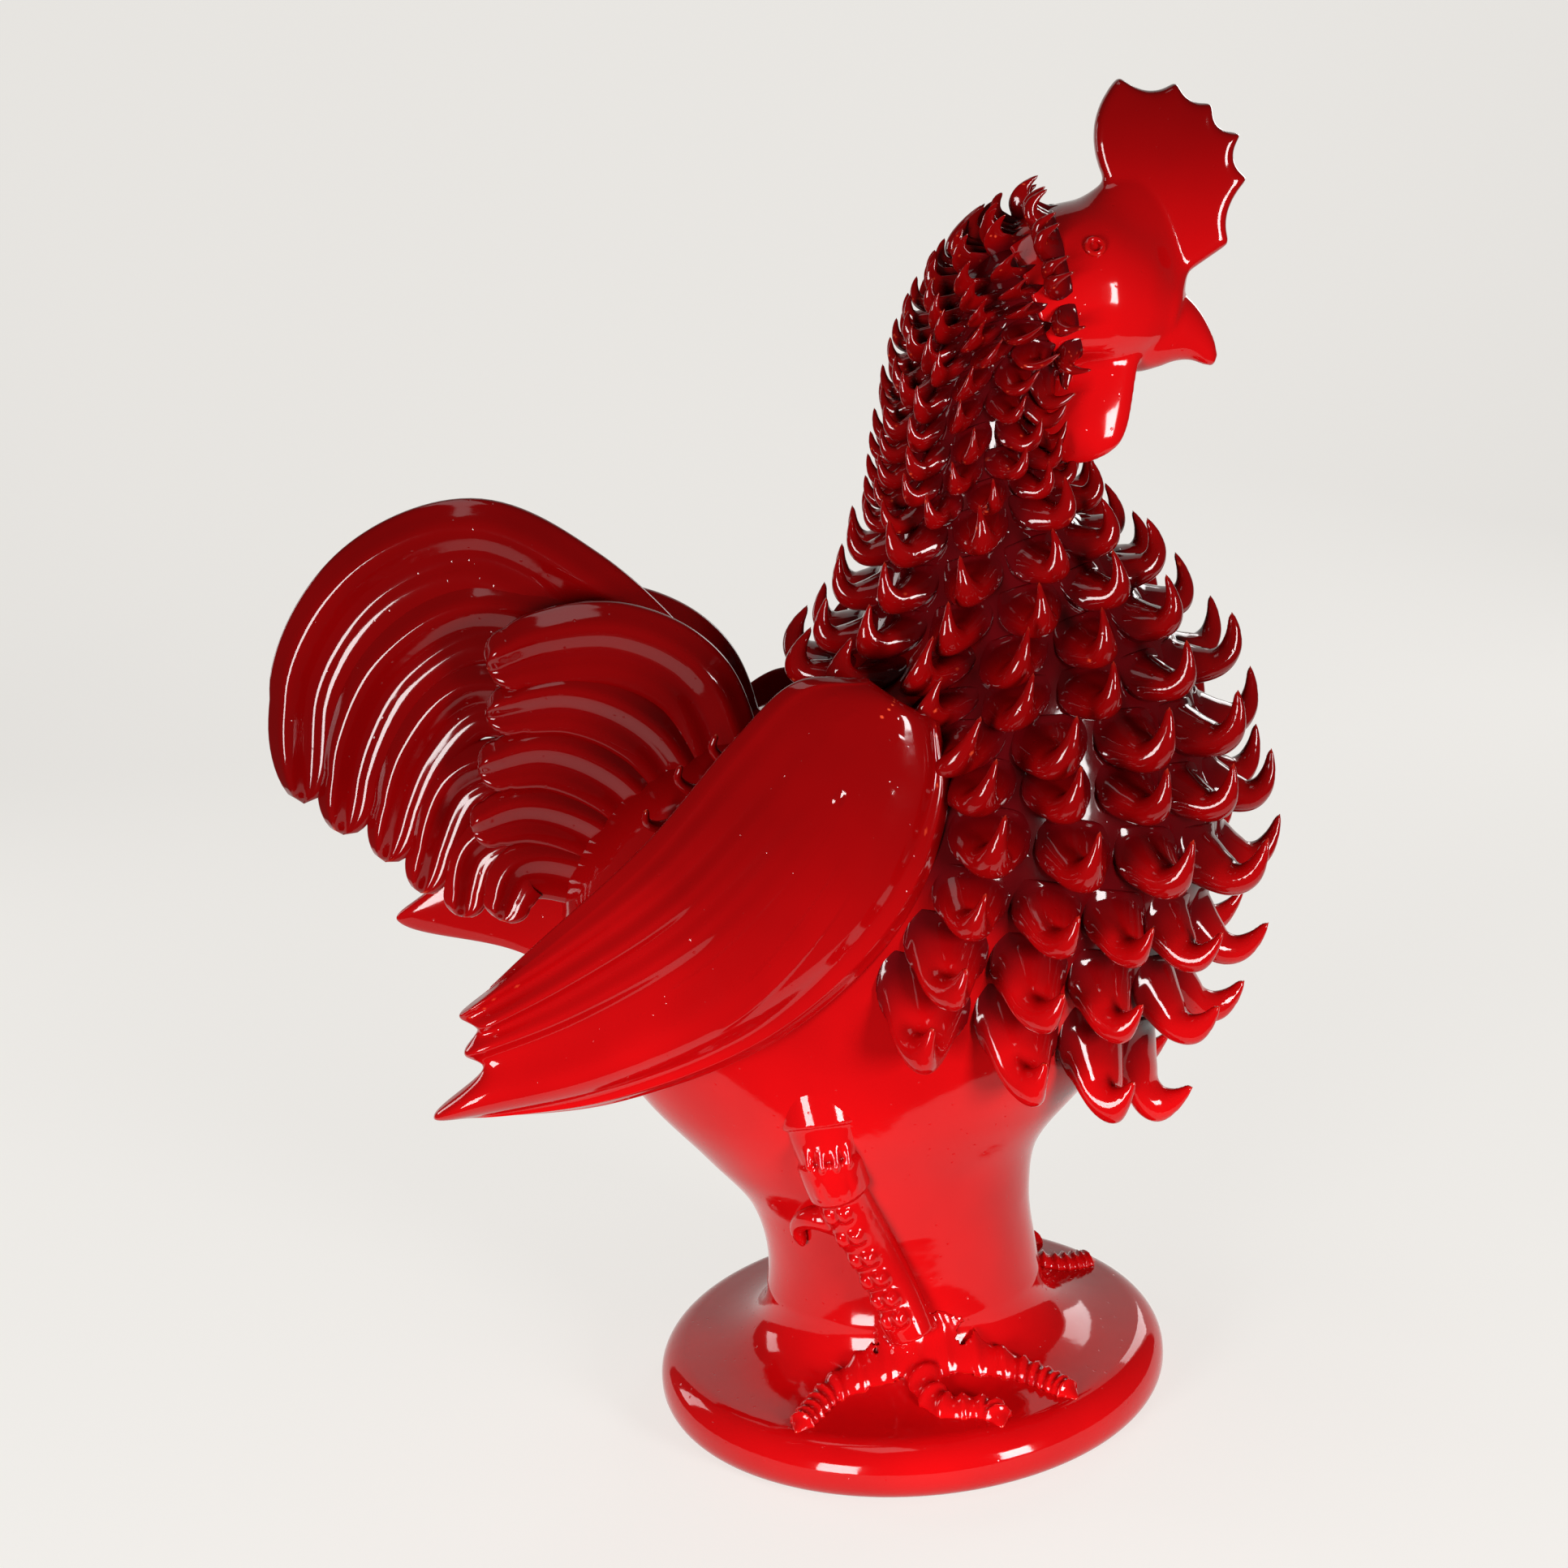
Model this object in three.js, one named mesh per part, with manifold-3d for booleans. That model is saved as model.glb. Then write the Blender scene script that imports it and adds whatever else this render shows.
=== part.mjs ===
// A glazed ceramic cockerel on a round base, in millimetres.
// +X is where the beak points, +Z is up, and the origin is the middle of the underside.
import * as THREE from 'three';
import { mergeVertices } from 'three/addons/utils/BufferGeometryUtils.js';
import Module from 'manifold-3d';

const wasm = await Module();
wasm.setup();

// Driving dimensions of the stand
const BASE_RADIUS = 75;
const BASE_HEIGHT = 19;
const BASE_CROWN = 3;
const BASE_UNDERCUT = 4;
const BASE_ROUND = 9;
const BASE_FLOOR = 7;
const STEM_FOOT = 50;
const VENT_RADIUS = 5;
const VENT_OFFSET = 28;

// Driving heights of the thrown form: the stem, the shoulder over it and the neck up
// to the crown of the head
const STEM_HEIGHT = 58;
const SHOULDER_HEIGHT = 145;
const NECK_HEIGHT = 116;

// Driving dimensions of the clay itself
const WALL = 5.5;
const JOINT_GAP = 0.3;

// Driving dimensions of the pieces that are luted on
const COMB_THICKNESS = 7;
const COMB_EDGE_ROUND = 2.2;
const WATTLE_LENGTH = 30;
const WATTLE_WIDTH = 17;
const WATTLE_THICKNESS = 7;
const WATTLE_SPREAD = 8;
const EYE_RING_RADIUS = 2.6;
const EYE_RING_WIRE = 0.9;
const BEAK_WIDTH = 15;
const WING_THICKNESS = 8;
const WING_BULGE = 7;
const WING_SPREAD_FRONT = 47;
const WING_SPREAD_TIP = 63;
const LEFT_WING_RAISE = 5;
const LEFT_WING_REACH = 8;
const LEFT_WING_BACK = 15;
const LEFT_WING_DROP = 15;
const LEFT_WING_SLANT = 27;
const SHANK_RADIUS = 8.5;
const CUFF_RADIUS = 10.5;
const CUFF_HEIGHT = 8;
const LOWER_COLLAR_HEIGHT = 11.2;
const COLLAR_STEP = 1;
const SHANK_TAPER = 2;
const SPUR_THICKNESS = 7.3;
const TOE_RADIUS = 5.6;
const TOE_RIDGES = 6;
const TOE_RIDGE_HEIGHT = 0.9;
const LEFT_FOOT_FORWARD = 14;
const LEFT_TOE_TURN = 19;
const TOE_INSET = 6;
const SICKLE_THICKNESS = 7;
const SICKLE_WIDTH = 25;
const TAIL_LAYER_OFFSET = 11;
const TAIL_LAYER_SPLAY = 6.3;
const THORN_LENGTH = 14;

// Driving dimensions of the hackle and breast scales
const NECK_ROWS = 13;
const BREAST_ROWS = 7;
const NECK_SCALE_PITCH = 13;
const BREAST_SCALE_PITCH = 25;
const NECK_SCALE_REACH = 9;
const BREAST_SCALE_REACH = 21;
const SCALE_ROOT_THICKNESS = 2.3;
const SCALE_ROOT_HEIGHT = 3;
const SCALE_ROOM = 0.7;
const SCALE_SLENDER = 1.45;
const SCALE_CLEARANCE = 0.6;
const SCALE_SEAT_LIMIT = 2.2;
const BIB_RISE = 38;
const BIB_SPAN_LOW = 112;
const BIB_SPAN_TOP = 92;

// Where the rows run, as station numbers up the skin, how far from the face the open
// rows end at the nape and at the throat, and how much closer the upper rows are set
const BIB_LOW_STATION = 5.95;
const BIB_TOP_STATION = 11.9;
const HOOD_STATION = 18.1;
const NAPE_MARGIN = 0.36;
const FACE_MARGIN = 2.2;
const BIB_CROWDING = 0.12;
const NECK_CROWDING = 0.165;

// How finely the round forms are cut into facets
const SKIN_SIDES = 24;
const OUTER_STEPS = 2;
const INNER_STEPS = 1;
const LATHE_SIDES = 30;

// Small vector and curve helpers
const vec = (x, y, z) => new THREE.Vector3(x, y, z);
const radians = THREE.MathUtils.degToRad;
const mix = THREE.MathUtils.lerp;
const SIDES = { right: -1, left: 1 };
const planeCurve = (points, y = 0) => new THREE.CatmullRomCurve3(points.map(([x, z]) => vec(x, y, z)));

// Points in side view. Their heights are typed from the level of what they belong to:
// on the stem, the body and the neck as a share of its height, and on the head in
// millimetres from the crown.
const SHOULDER_LEVEL = STEM_HEIGHT + SHOULDER_HEIGHT;
const CROWN_LEVEL = SHOULDER_LEVEL + NECK_HEIGHT;
const onStem = ([x, share]) => [x, share * STEM_HEIGHT];
const onBody = ([x, share]) => [x, STEM_HEIGHT + share * SHOULDER_HEIGHT];
const onNeck = ([x, share]) => [x, SHOULDER_LEVEL + share * NECK_HEIGHT];
const onHead = ([x, rise]) => [x, CROWN_LEVEL + rise];

// A repeatable unevenness between -0.5 and 0.5, as a hand leaves it
const handmade = (row, place) => {
  const wave = Math.sin(row * 12.9898 + place * 78.233) * 43758.5453;
  return wave - Math.floor(wave) - 0.5;
};

// Solids: a three.js geometry becomes a manifold solid, and comes back after the cuts
function solid(geometry) {
  const bare = geometry.index ? geometry.clone() : mergeVertices(geometry.clone());
  bare.deleteAttribute('normal');
  bare.deleteAttribute('uv');
  const merged = mergeVertices(bare, 1e-5);
  return new wasm.Manifold(new wasm.Mesh({
    numProp: 3,
    vertProperties: Float32Array.from(merged.attributes.position.array),
    triVerts: Uint32Array.from(merged.index.array),
  }));
}

function geometryOf(body) {
  const mesh = body.getMesh();
  const geometry = new THREE.BufferGeometry();
  geometry.setAttribute('position', new THREE.BufferAttribute(Float32Array.from(mesh.vertProperties), 3));
  geometry.setIndex(new THREE.BufferAttribute(Uint32Array.from(mesh.triVerts), 1));
  geometry.computeVertexNormals();
  return geometry;
}

// The same, with the faces turned round first if they point inwards
function outward(geometry) {
  const body = solid(geometry);
  if (body.volume() > 0) return body;
  const turnedRound = geometry.clone();
  turnedRound.setIndex(Array.from(turnedRound.index.array).reverse());
  return solid(turnedRound);
}

const largestPiece = (body) => body.decompose().sort((a, b) => b.volume() - a.volume())[0];
const cutBy = (body, ...tools) => largestPiece(tools.reduce((rest, tool) => rest.subtract(tool), body));
const joined = (bodies) => bodies.reduce((whole, body) => whole.add(body));

// A loft: rings of equal length are skinned one to the next and the two ends are closed
function loft(rings, tip = null) {
  const count = rings[0].length;
  const points = rings.flat();
  const faces = [];
  rings.slice(1).forEach((ring, level) => {
    const low = level * count;
    const high = low + count;
    ring.forEach((_, i) => {
      const next = (i + 1) % count;
      faces.push(low + i, low + next, high + next, low + i, high + next, high + i);
    });
  });
  const middle = (ring) => ring.reduce((sum, p) => sum.add(p), vec(0, 0, 0)).divideScalar(count);
  const close = (start, apex, flip) => {
    points.push(apex);
    const centre = points.length - 1;
    for (let i = 0; i < count; i += 1) {
      const next = (i + 1) % count;
      faces.push(centre, start + (flip ? i : next), start + (flip ? next : i));
    }
  };
  close(0, middle(rings[0]), false);
  close((rings.length - 1) * count, tip ?? middle(rings[rings.length - 1]), true);
  const geometry = new THREE.BufferGeometry();
  geometry.setFromPoints(points);
  geometry.setIndex(faces);
  return outward(geometry);
}

// The skin of the bird from the foot of the stem to the face. Each station is a flat
// slice: its back point and its front point, both in side view, and its half width.
// The slices start level and turn with the neck until they stand upright at the face.
const STATIONS = [
  { back: onStem([-49, 0]), front: onStem([48, 0]), half: 45 },
  { back: onStem([-42.5, 0.1724]), front: onStem([41.5, 0.1724]), half: 39.5 },
  { back: onStem([-40, 0.431]), front: onStem([39, 0.431]), half: 37 },
  { back: onStem([-44, 0.7414]), front: onStem([38.5, 0.6897]), half: 37.5 },
  { back: onBody([-57, 0.0138]), front: onBody([42, -0.0138]), half: 41 },
  { back: onBody([-72, 0.1379]), front: onBody([56, 0.0966]), half: 46 },
  { back: onBody([-84, 0.2828]), front: onBody([76, 0.2138]), half: 50 },
  { back: onBody([-90, 0.4483]), front: onBody([87, 0.3793]), half: 53 },
  { back: onBody([-87, 0.6069]), front: onBody([97, 0.5517]), half: 54 },
  { back: onBody([-70, 0.7586]), front: onBody([98, 0.7103]), half: 51 },
  { back: onBody([-48, 0.8414]), front: onBody([93, 0.869]), half: 46 },
  { back: onBody([-24, 0.9034]), front: onBody([86, 1]), half: 41 },
  { back: onNeck([-4, 0]), front: onNeck([79, 0.1034]), half: 36 },
  { back: onNeck([8, 0.1897]), front: onNeck([69, 0.2155]), half: 32 },
  { back: onNeck([14, 0.3534]), front: onNeck([59, 0.3276]), half: 28.5 },
  { back: onNeck([18, 0.5345]), front: onNeck([54, 0.431]), half: 26 },
  { back: onNeck([24, 0.7241]), front: onNeck([53.5, 0.5172]), half: 25 },
  { back: onHead([37, -13]), front: onHead([57, -49]), half: 24.5 },
  { back: onHead([57, -1]), front: onHead([64, -45.5]), half: 23 },
  { back: onHead([74, 0]), front: onHead([74, -45]), half: 21 },
  { back: onHead([86, -8]), front: onHead([82, -43]), half: 16 },
  { back: onHead([93, -20]), front: onHead([88, -40]), half: 10 },
];
const LAST_STATION = STATIONS.length - 1;
const backLine = planeCurve(STATIONS.map((s) => s.back));
const frontLine = planeCurve(STATIONS.map((s) => s.front));
const widthLine = planeCurve(STATIONS.map((s, i) => [s.half, i]));

// Where the separately made hollow forms meet, as station numbers
const STEM_TOP = 4;
const BODY_TOP = 12;
const NECK_TOP = 18;

function slice(station) {
  const t = THREE.MathUtils.clamp(station / LAST_STATION, 0, 1);
  const back = backLine.getPoint(t);
  const front = frontLine.getPoint(t);
  const along = front.clone().sub(back);
  const length = along.length() / 2;
  along.normalize();
  return {
    centre: back.add(front).multiplyScalar(0.5),
    along,
    length,
    half: widthLine.getPoint(t).x,
    rise: vec(-along.z, 0, along.x),
  };
}

// A point of the skin: angle 0 is the breast line and 180 degrees the back line
function skinPoint(station, angle, grow = 0) {
  const s = slice(station);
  return s.centre
    .addScaledVector(s.along, Math.cos(angle) * (s.length + grow))
    .add(vec(0, Math.sin(angle) * (s.half + grow), 0));
}

// The frame on the skin: out of it, sideways round it, and down it towards the stem
function skinFrame(station, angle) {
  const STEP = 0.02;
  const at = skinPoint(station, angle);
  const round = skinPoint(station, angle + STEP).sub(skinPoint(station, angle - STEP)).normalize();
  const up = skinPoint(station + STEP, angle).sub(skinPoint(station - STEP, angle)).normalize();
  const out = round.clone().cross(up).normalize();
  return { at, out, side: up.clone().cross(out).normalize(), down: up.negate() };
}

// A distance square to the skin, as the longer way to go within a slice that leans on it.
// LEAST_SQUARE keeps it finite where a slice nearly lies in the skin.
const LEAST_SQUARE = 0.3;
function withinSlice(station, angle, distance) {
  const outward = skinPoint(station, angle, 1).sub(skinPoint(station, angle));
  return distance / Math.max(LEAST_SQUARE, outward.dot(skinFrame(station, angle).out));
}

function skinRing(station, grow, shift) {
  const lift = slice(station).rise.multiplyScalar(shift);
  return Array.from({ length: SKIN_SIDES }, (_, i) => {
    const angle = (2 * Math.PI * i) / SKIN_SIDES;
    return skinPoint(station, angle, grow < 0 ? withinSlice(station, angle, grow) : grow).add(lift);
  });
}

// A stretch of the skin as a solid. The end slices are moved along by startShift and
// endShift, which leaves a joint gap or lets a cutter run past the clay.
function skinSolid(from, to, grow, startShift, endShift) {
  const steps = Math.ceil((to - from) * (grow < 0 ? INNER_STEPS : OUTER_STEPS));
  const rings = Array.from({ length: steps + 1 }, (_, i) => {
    const shift = i === 0 ? startShift : i === steps ? endShift : 0;
    return skinRing(mix(from, to, i / steps), grow, shift);
  });
  return loft(rings);
}

const shell = (from, to, endWall) => skinSolid(from, to, 0, from > 0 ? JOINT_GAP : 0, 0)
  .subtract(skinSolid(from, to - endWall, -WALL, -1, endWall > 0 ? 0 : 1));

// Everything that is luted on is cut by the skin and a joint gap round it
const skinCutter = skinSolid(0, LAST_STATION, JOINT_GAP, -JOINT_GAP, JOINT_GAP);

// The base is thrown as a hollow drum: a flat floor, a rounded wall and a low crowned
// top with a hole in it that opens into the stem
const BASE_SHOULDER = BASE_RADIUS - BASE_ROUND;
const BASE_RIM_HEIGHT = BASE_HEIGHT - BASE_CROWN;
const BASE_OPENING = STEM_FOOT - 2 * WALL;

// Height of the base's upper side at a distance from its middle
function baseTop(radius) {
  if (radius <= STEM_FOOT) return BASE_HEIGHT;
  const along = (radius - STEM_FOOT) / (BASE_SHOULDER - STEM_FOOT);
  if (radius <= BASE_SHOULDER) return BASE_HEIGHT - BASE_CROWN * along;
  const beyond = Math.min(1, (radius - BASE_SHOULDER) / BASE_ROUND);
  return BASE_RIM_HEIGHT - BASE_ROUND + Math.sqrt(1 - beyond * beyond) * BASE_ROUND;
}

function baseOutline(grow) {
  const ROUND_STEPS = 6;
  const outline = [
    [0, -grow],
    [BASE_RADIUS - BASE_UNDERCUT + grow, -grow],
    [BASE_RADIUS + grow, BASE_UNDERCUT],
  ];
  for (let i = 0; i <= ROUND_STEPS; i += 1) {
    const turn = (Math.PI / 2) * (i / ROUND_STEPS);
    const reach = BASE_ROUND + grow;
    outline.push([
      BASE_SHOULDER + Math.cos(turn) * reach,
      BASE_RIM_HEIGHT - BASE_ROUND + Math.sin(turn) * reach,
    ]);
  }
  outline.push([STEM_FOOT, BASE_HEIGHT + grow]);
  return outline;
}

function turned(outline) {
  const lathe = new THREE.LatheGeometry(outline.map(([r, z]) => new THREE.Vector2(r, z)), LATHE_SIDES);
  return outward(lathe.rotateX(Math.PI / 2));
}

function baseDisc() {
  const inside = BASE_RADIUS - WALL;
  const hollow = [
    [BASE_OPENING, BASE_HEIGHT],
    [BASE_OPENING, BASE_HEIGHT - WALL],
    [inside - WALL, BASE_RIM_HEIGHT - WALL],
    [inside, BASE_FLOOR + 1],
    [inside - 1, BASE_FLOOR],
    [0, BASE_FLOOR],
  ];
  const vent = new THREE.CylinderGeometry(VENT_RADIUS, VENT_RADIUS, 3 * BASE_FLOOR, LATHE_SIDES / 2);
  vent.rotateX(Math.PI / 2).translate(-VENT_OFFSET, 0, 0);
  return turned([...baseOutline(0), ...hollow]).subtract(solid(vent));
}

const baseCutter = turned([...baseOutline(JOINT_GAP), [0, BASE_HEIGHT + JOINT_GAP]])
  .translate([0, 0, -BASE_HEIGHT]);

// A round or oval rod along a curve. Each ring has its own two radii, one in the
// curve's plane (across) and one out of it (thick); facets is the number of sides.
function rod(curve, steps, facets, radii, spread = vec(0, 1, 0), tip = false) {
  const count = tip ? steps : steps + 1;
  const rings = Array.from({ length: count }, (_, i) => {
    const t = i / steps;
    const centre = curve.getPoint(t);
    const along = curve.getTangent(t);
    const across = spread.clone().cross(along).normalize();
    const thick = along.clone().cross(across).normalize();
    const [wide, deep] = radii(t);
    return Array.from({ length: facets }, (__, j) => {
      const turn = (2 * Math.PI * j) / facets;
      return centre.clone()
        .addScaledVector(across, Math.cos(turn) * wide)
        .addScaledVector(thick, Math.sin(turn) * deep);
    });
  });
  return loft(rings, tip ? curve.getPoint(1) : null);
}

// The head: the front end of the skin, hollow behind the eyes, with a small ring
// pressed on each side for an eye
const EYE = { station: 18.75, angle: radians(121) };

function eyeRing(side) {
  const { at, out } = skinFrame(EYE.station, side * EYE.angle);
  const ring = new THREE.TorusGeometry(EYE_RING_RADIUS, EYE_RING_WIRE, 5, 10);
  ring.applyQuaternion(new THREE.Quaternion().setFromUnitVectors(vec(0, 0, 1), out));
  return solid(ring.translate(at.x, at.y, at.z));
}

function head() {
  const hollowEnd = NECK_TOP + 1.5;
  const outside = skinSolid(NECK_TOP, LAST_STATION, 0, JOINT_GAP, 0);
  const inside = skinSolid(NECK_TOP, hollowEnd, -WALL, -1, 0);
  return joined([outside.subtract(inside), ...Object.values(SIDES).map(eyeRing)]);
}

// The comb: a cut slab with a round lobe at the back and five points
const COMB_LOBE = {
  notch: onHead([77, 1]),
  back: onHead([67, 19]),
  top: onHead([80, 31.5]),
  dip: onHead([88, 24]),
};
const COMB_POINTS = [[95, 29], [104.5, 23], [112, 14.5], [113, 2.5], [107.5, -14]].map(onHead);
const COMB_VALLEYS = [[97.5, 21.5], [102.5, 14.5], [106, 7.5], [104.5, -5.5]].map(onHead);
const COMB_ROOT = [[92, -21], [84, -23]].map(onHead);

function comb() {
  const outline = new THREE.Shape();
  const { notch, back, top, dip } = COMB_LOBE;
  outline.moveTo(...notch);
  outline.quadraticCurveTo(...back, ...top);
  outline.quadraticCurveTo(...dip, ...COMB_POINTS[0]);
  COMB_VALLEYS.forEach((valley, i) => outline.quadraticCurveTo(...valley, ...COMB_POINTS[i + 1]));
  COMB_ROOT.forEach((point) => outline.lineTo(...point));
  const slab = new THREE.ExtrudeGeometry(outline, {
    depth: COMB_THICKNESS - 2 * COMB_EDGE_ROUND,
    bevelThickness: COMB_EDGE_ROUND,
    bevelSize: COMB_EDGE_ROUND / 2,
    bevelOffset: -COMB_EDGE_ROUND / 2,
    bevelSegments: 1,
    curveSegments: 4,
  });
  slab.translate(0, 0, COMB_EDGE_ROUND - COMB_THICKNESS / 2).rotateX(Math.PI / 2);
  return cutBy(solid(slab), skinCutter);
}

// The beak: a short hooked horn over the throat
const BEAK_LINE = [[80, -34], [90, -34.5], [97, -38.5], [101.5, -46]].map(onHead);
const BEAK_DEPTH = 21;

function beak() {
  const taper = (t) => 1 - t ** 1.6;
  const body = rod(planeCurve(BEAK_LINE), 5, 10,
    (t) => [(BEAK_DEPTH / 2) * taper(t) + 0.4, (BEAK_WIDTH / 2) * taper(t) + 0.4], vec(0, 1, 0), true);
  return cutBy(body, skinCutter);
}
const beakCutter = beak();

// The wattles: two flattened drops that hang from the throat
const WATTLE_TOP = onHead([75, -41]);
const WATTLE_LEAN = radians(24);

function wattle(side, grow = 0) {
  const STEPS = 8;
  const profile = Array.from({ length: STEPS + 1 }, (_, i) => {
    const t = i / STEPS;
    const swell = Math.sin(Math.PI * t ** 1.5) ** 0.7 * (0.35 + 0.65 * t);
    return new THREE.Vector2((i % STEPS) ? swell * WATTLE_WIDTH / 2 + grow : 0,
      -t * (WATTLE_LENGTH + grow));
  });
  const drop = new THREE.LatheGeometry(profile, 12).rotateX(Math.PI / 2);
  drop.scale(1, (WATTLE_THICKNESS + 2 * grow) / (WATTLE_WIDTH + 2 * grow), 1);
  drop.rotateY(WATTLE_LEAN);
  drop.translate(WATTLE_TOP[0], side * WATTLE_SPREAD, WATTLE_TOP[1]);
  return outward(drop);
}

// The wings: long leaves that hug the shoulder and stand off behind. Upper and lower
// edges in side view, from the shoulder to the three feather tips.
const WING_UPPER = [
  [2, 1.0138], [-16, 1.0207], [-33, 0.931],
  [-58, 0.7586], [-84, 0.6207], [-111, 0.5034],
].map(onBody);
const WING_LOWER = [
  [20, 0.9241], [21, 0.7793], [8, 0.5724],
  [-26, 0.3724], [-72, 0.2724], [-113, 0.2621],
].map(onBody);
const WING_TIPS = [0, -5, 1, -4, -7, 2, 8];
const WING_RIDGES = 3;
const WING_RIDGE_HEIGHT = 0.9;
const WING_TAPER = 0.3;
const WING_FLATTENING = 0.55;
const WING_EDGE = 0.14;
const WING_BULGE_SPAN = [0.12, 0.92];
const WING_PIVOT = onBody([-52, 0.6345]);

function wing(side, grow = 0) {
  const STEPS = 10;
  const ACROSS = WING_TIPS.length - 1;
  const upper = planeCurve(WING_UPPER);
  const lower = planeCurve(WING_LOWER);
  const far = side === SIDES.left;
  const turn = far ? radians(LEFT_WING_RAISE) : 0;
  const [longer, slant] = far ? [LEFT_WING_REACH, LEFT_WING_SLANT] : [0, 0];
  const rings = Array.from({ length: STEPS + 1 }, (_, i) => {
    const t = i / STEPS;
    const top = upper.getPoint(t);
    const low = lower.getPoint(t);
    const along = upper.getTangent(t).add(lower.getTangent(t)).normalize();
    const wide = low.clone().sub(top).normalize();
    const spread = mix(WING_SPREAD_FRONT, WING_SPREAD_TIP, t ** 1.2);
    const point = (u, face) => {
      const bulge = Math.sin(Math.PI * mix(...WING_BULGE_SPAN, u)) * WING_BULGE * (1 - WING_FLATTENING * t);
      const ridge = Math.cos(2 * Math.PI * WING_RIDGES * u) * WING_RIDGE_HEIGHT * Math.min(1, 2 * t);
      const arch = Math.sin(Math.PI * mix(WING_EDGE, 1 - WING_EDGE, u));
      const plate = (WING_THICKNESS / 2) * (1 - WING_TAPER * t) * arch;
      const depth = spread + bulge + (face > 0 ? plate + ridge : -plate);
      const at = top.clone().lerp(low, u).addScaledVector(wide, (u - 0.5) * 2 * grow);
      const reach = i === STEPS ? WING_TIPS[Math.round(u * ACROSS)] + grow : i === 0 ? -grow : 0;
      at.addScaledVector(along, reach + (longer + slant * (0.5 - u)) * t * t);
      return vec(at.x, side * (depth + face * grow), at.z);
    };
    const outer = Array.from({ length: ACROSS + 1 }, (__, j) => point(j / ACROSS, 1));
    const inner = Array.from({ length: ACROSS + 1 }, (__, j) => point(1 - j / ACROSS, -1));
    return [...outer, ...inner];
  });
  const pivot = vec(WING_PIVOT[0], 0, WING_PIVOT[1]);
  const setBack = far ? vec(LEFT_WING_BACK, 0, LEFT_WING_DROP) : vec(0, 0, 0);
  const raised = rings.map((ring) => ring.map((p) => p.sub(pivot)
    .applyAxisAngle(vec(0, 1, 0), turn).add(pivot).sub(setBack)));
  return loft(raised);
}

// The sickle feathers of the tail: a middle fan of five and a layer of five on each
// side of it. Each has its middle line in side view and a share of the full width.
const MIDDLE_SICKLES = [
  {
    width: 1,
    line: [
      [-36, 0.7724], [-55, 0.9862], [-78, 1.1552], [-103, 1.2552],
      [-131.5, 1.2034], [-152.5, 1.0379], [-160, 0.7793],
    ].map(onBody),
  },
  {
    width: 0.67,
    line: [
      [-46, 0.7586], [-72, 1.0138], [-104, 1.1103],
      [-128, 1.0345], [-142, 0.8966], [-150, 0.7103],
    ].map(onBody),
  },
  {
    width: 0.62,
    line: [
      [-58, 0.7034], [-84, 0.9034], [-108, 0.9586],
      [-125, 0.8621], [-139, 0.6483],
    ].map(onBody),
  },
  {
    width: 0.55,
    line: [
      [-66, 0.6483], [-94, 0.8069],
      [-114, 0.7931], [-130, 0.5793],
    ].map(onBody),
  },
  {
    width: 0.48,
    line: [
      [-74, 0.5862], [-98, 0.6828],
      [-112, 0.6552], [-119, 0.5241],
    ].map(onBody),
  },
];
const SIDE_SICKLES = [
  {
    width: 0.67,
    line: [
      [-36, 0.7586], [-46, 0.9793], [-64, 1.0621],
      [-84, 1.069], [-101, 1.0414],
    ].map(onBody),
  },
  {
    width: 0.55,
    line: [
      [-46, 0.7034], [-60, 0.8828],
      [-79, 0.9586], [-103, 0.9517],
    ].map(onBody),
  },
  {
    width: 0.55,
    line: [
      [-56, 0.6483], [-71, 0.7931],
      [-88, 0.8552], [-107, 0.8414],
    ].map(onBody),
  },
  {
    width: 0.51,
    line: [
      [-64, 0.5931], [-80, 0.7034],
      [-95, 0.7448], [-111, 0.7241],
    ].map(onBody),
  },
  {
    width: 0.51,
    line: [
      [-68, 0.5241], [-85, 0.6138],
      [-98, 0.6276], [-106, 0.5379],
    ].map(onBody),
  },
];

// How a sickle's width runs: the share at its root, the stretch over which it swells and
// closes again, and the blunt tip
const SICKLE_ROOT = 0.75;
const SICKLE_FULL_AT = 1.15;
const SICKLE_TIP = { across: 0.55, thick: 0.6 };
const SICKLE_FACETS = 6;

function sickle({ line, width }, layer, grow = 0) {
  const points = line.map(([x, z], i) => vec(x,
    layer * (TAIL_LAYER_OFFSET + TAIL_LAYER_SPLAY * (i / (line.length - 1))), z));
  const steps = 2 * line.length - 1;
  return rod(new THREE.CatmullRomCurve3(points), steps, SICKLE_FACETS, (t) => {
    const end = t < 1 ? { across: 1, thick: 1 } : SICKLE_TIP;
    const swell = Math.sin(Math.PI * Math.min(1, t * SICKLE_FULL_AT)) ** 0.5;
    const across = (SICKLE_WIDTH / 2) * width * mix(SICKLE_ROOT, 1, swell) * end.across;
    return [across + grow, (SICKLE_THICKNESS / 2) * end.thick + grow];
  });
}

// The legs are modelled in relief on the stem: a cuff of two collars, a scaled shank
// and a knuckle, with a spur behind and three toes that lie on the base
const LEG_LINE = [
  [-19, 1.3793], [-18, 1.1724], [-14, 0.9138],
  [-8, 0.6552], [-3, 0.431], [1, 0.2241],
].map(onStem);
const SPUR_LINE = [[-17, 0.8448], [-27, 0.8448], [-31, 0.7414], [-30, 0.6207]].map(onStem);
const TOE_ANGLES = { back: -119, middle: -70, front: -49 };
const TOE_SEAT = 2 * JOINT_GAP;
const TOE_SECTION = [[-1, 0], [-0.85, 0.75], [-0.3, 1.25], [0.3, 1.25], [0.85, 0.75], [1, 0]];
const TOE_BOWS = { back: [-23, -45], middle: [8, -55], front: [30, -40] };

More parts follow.
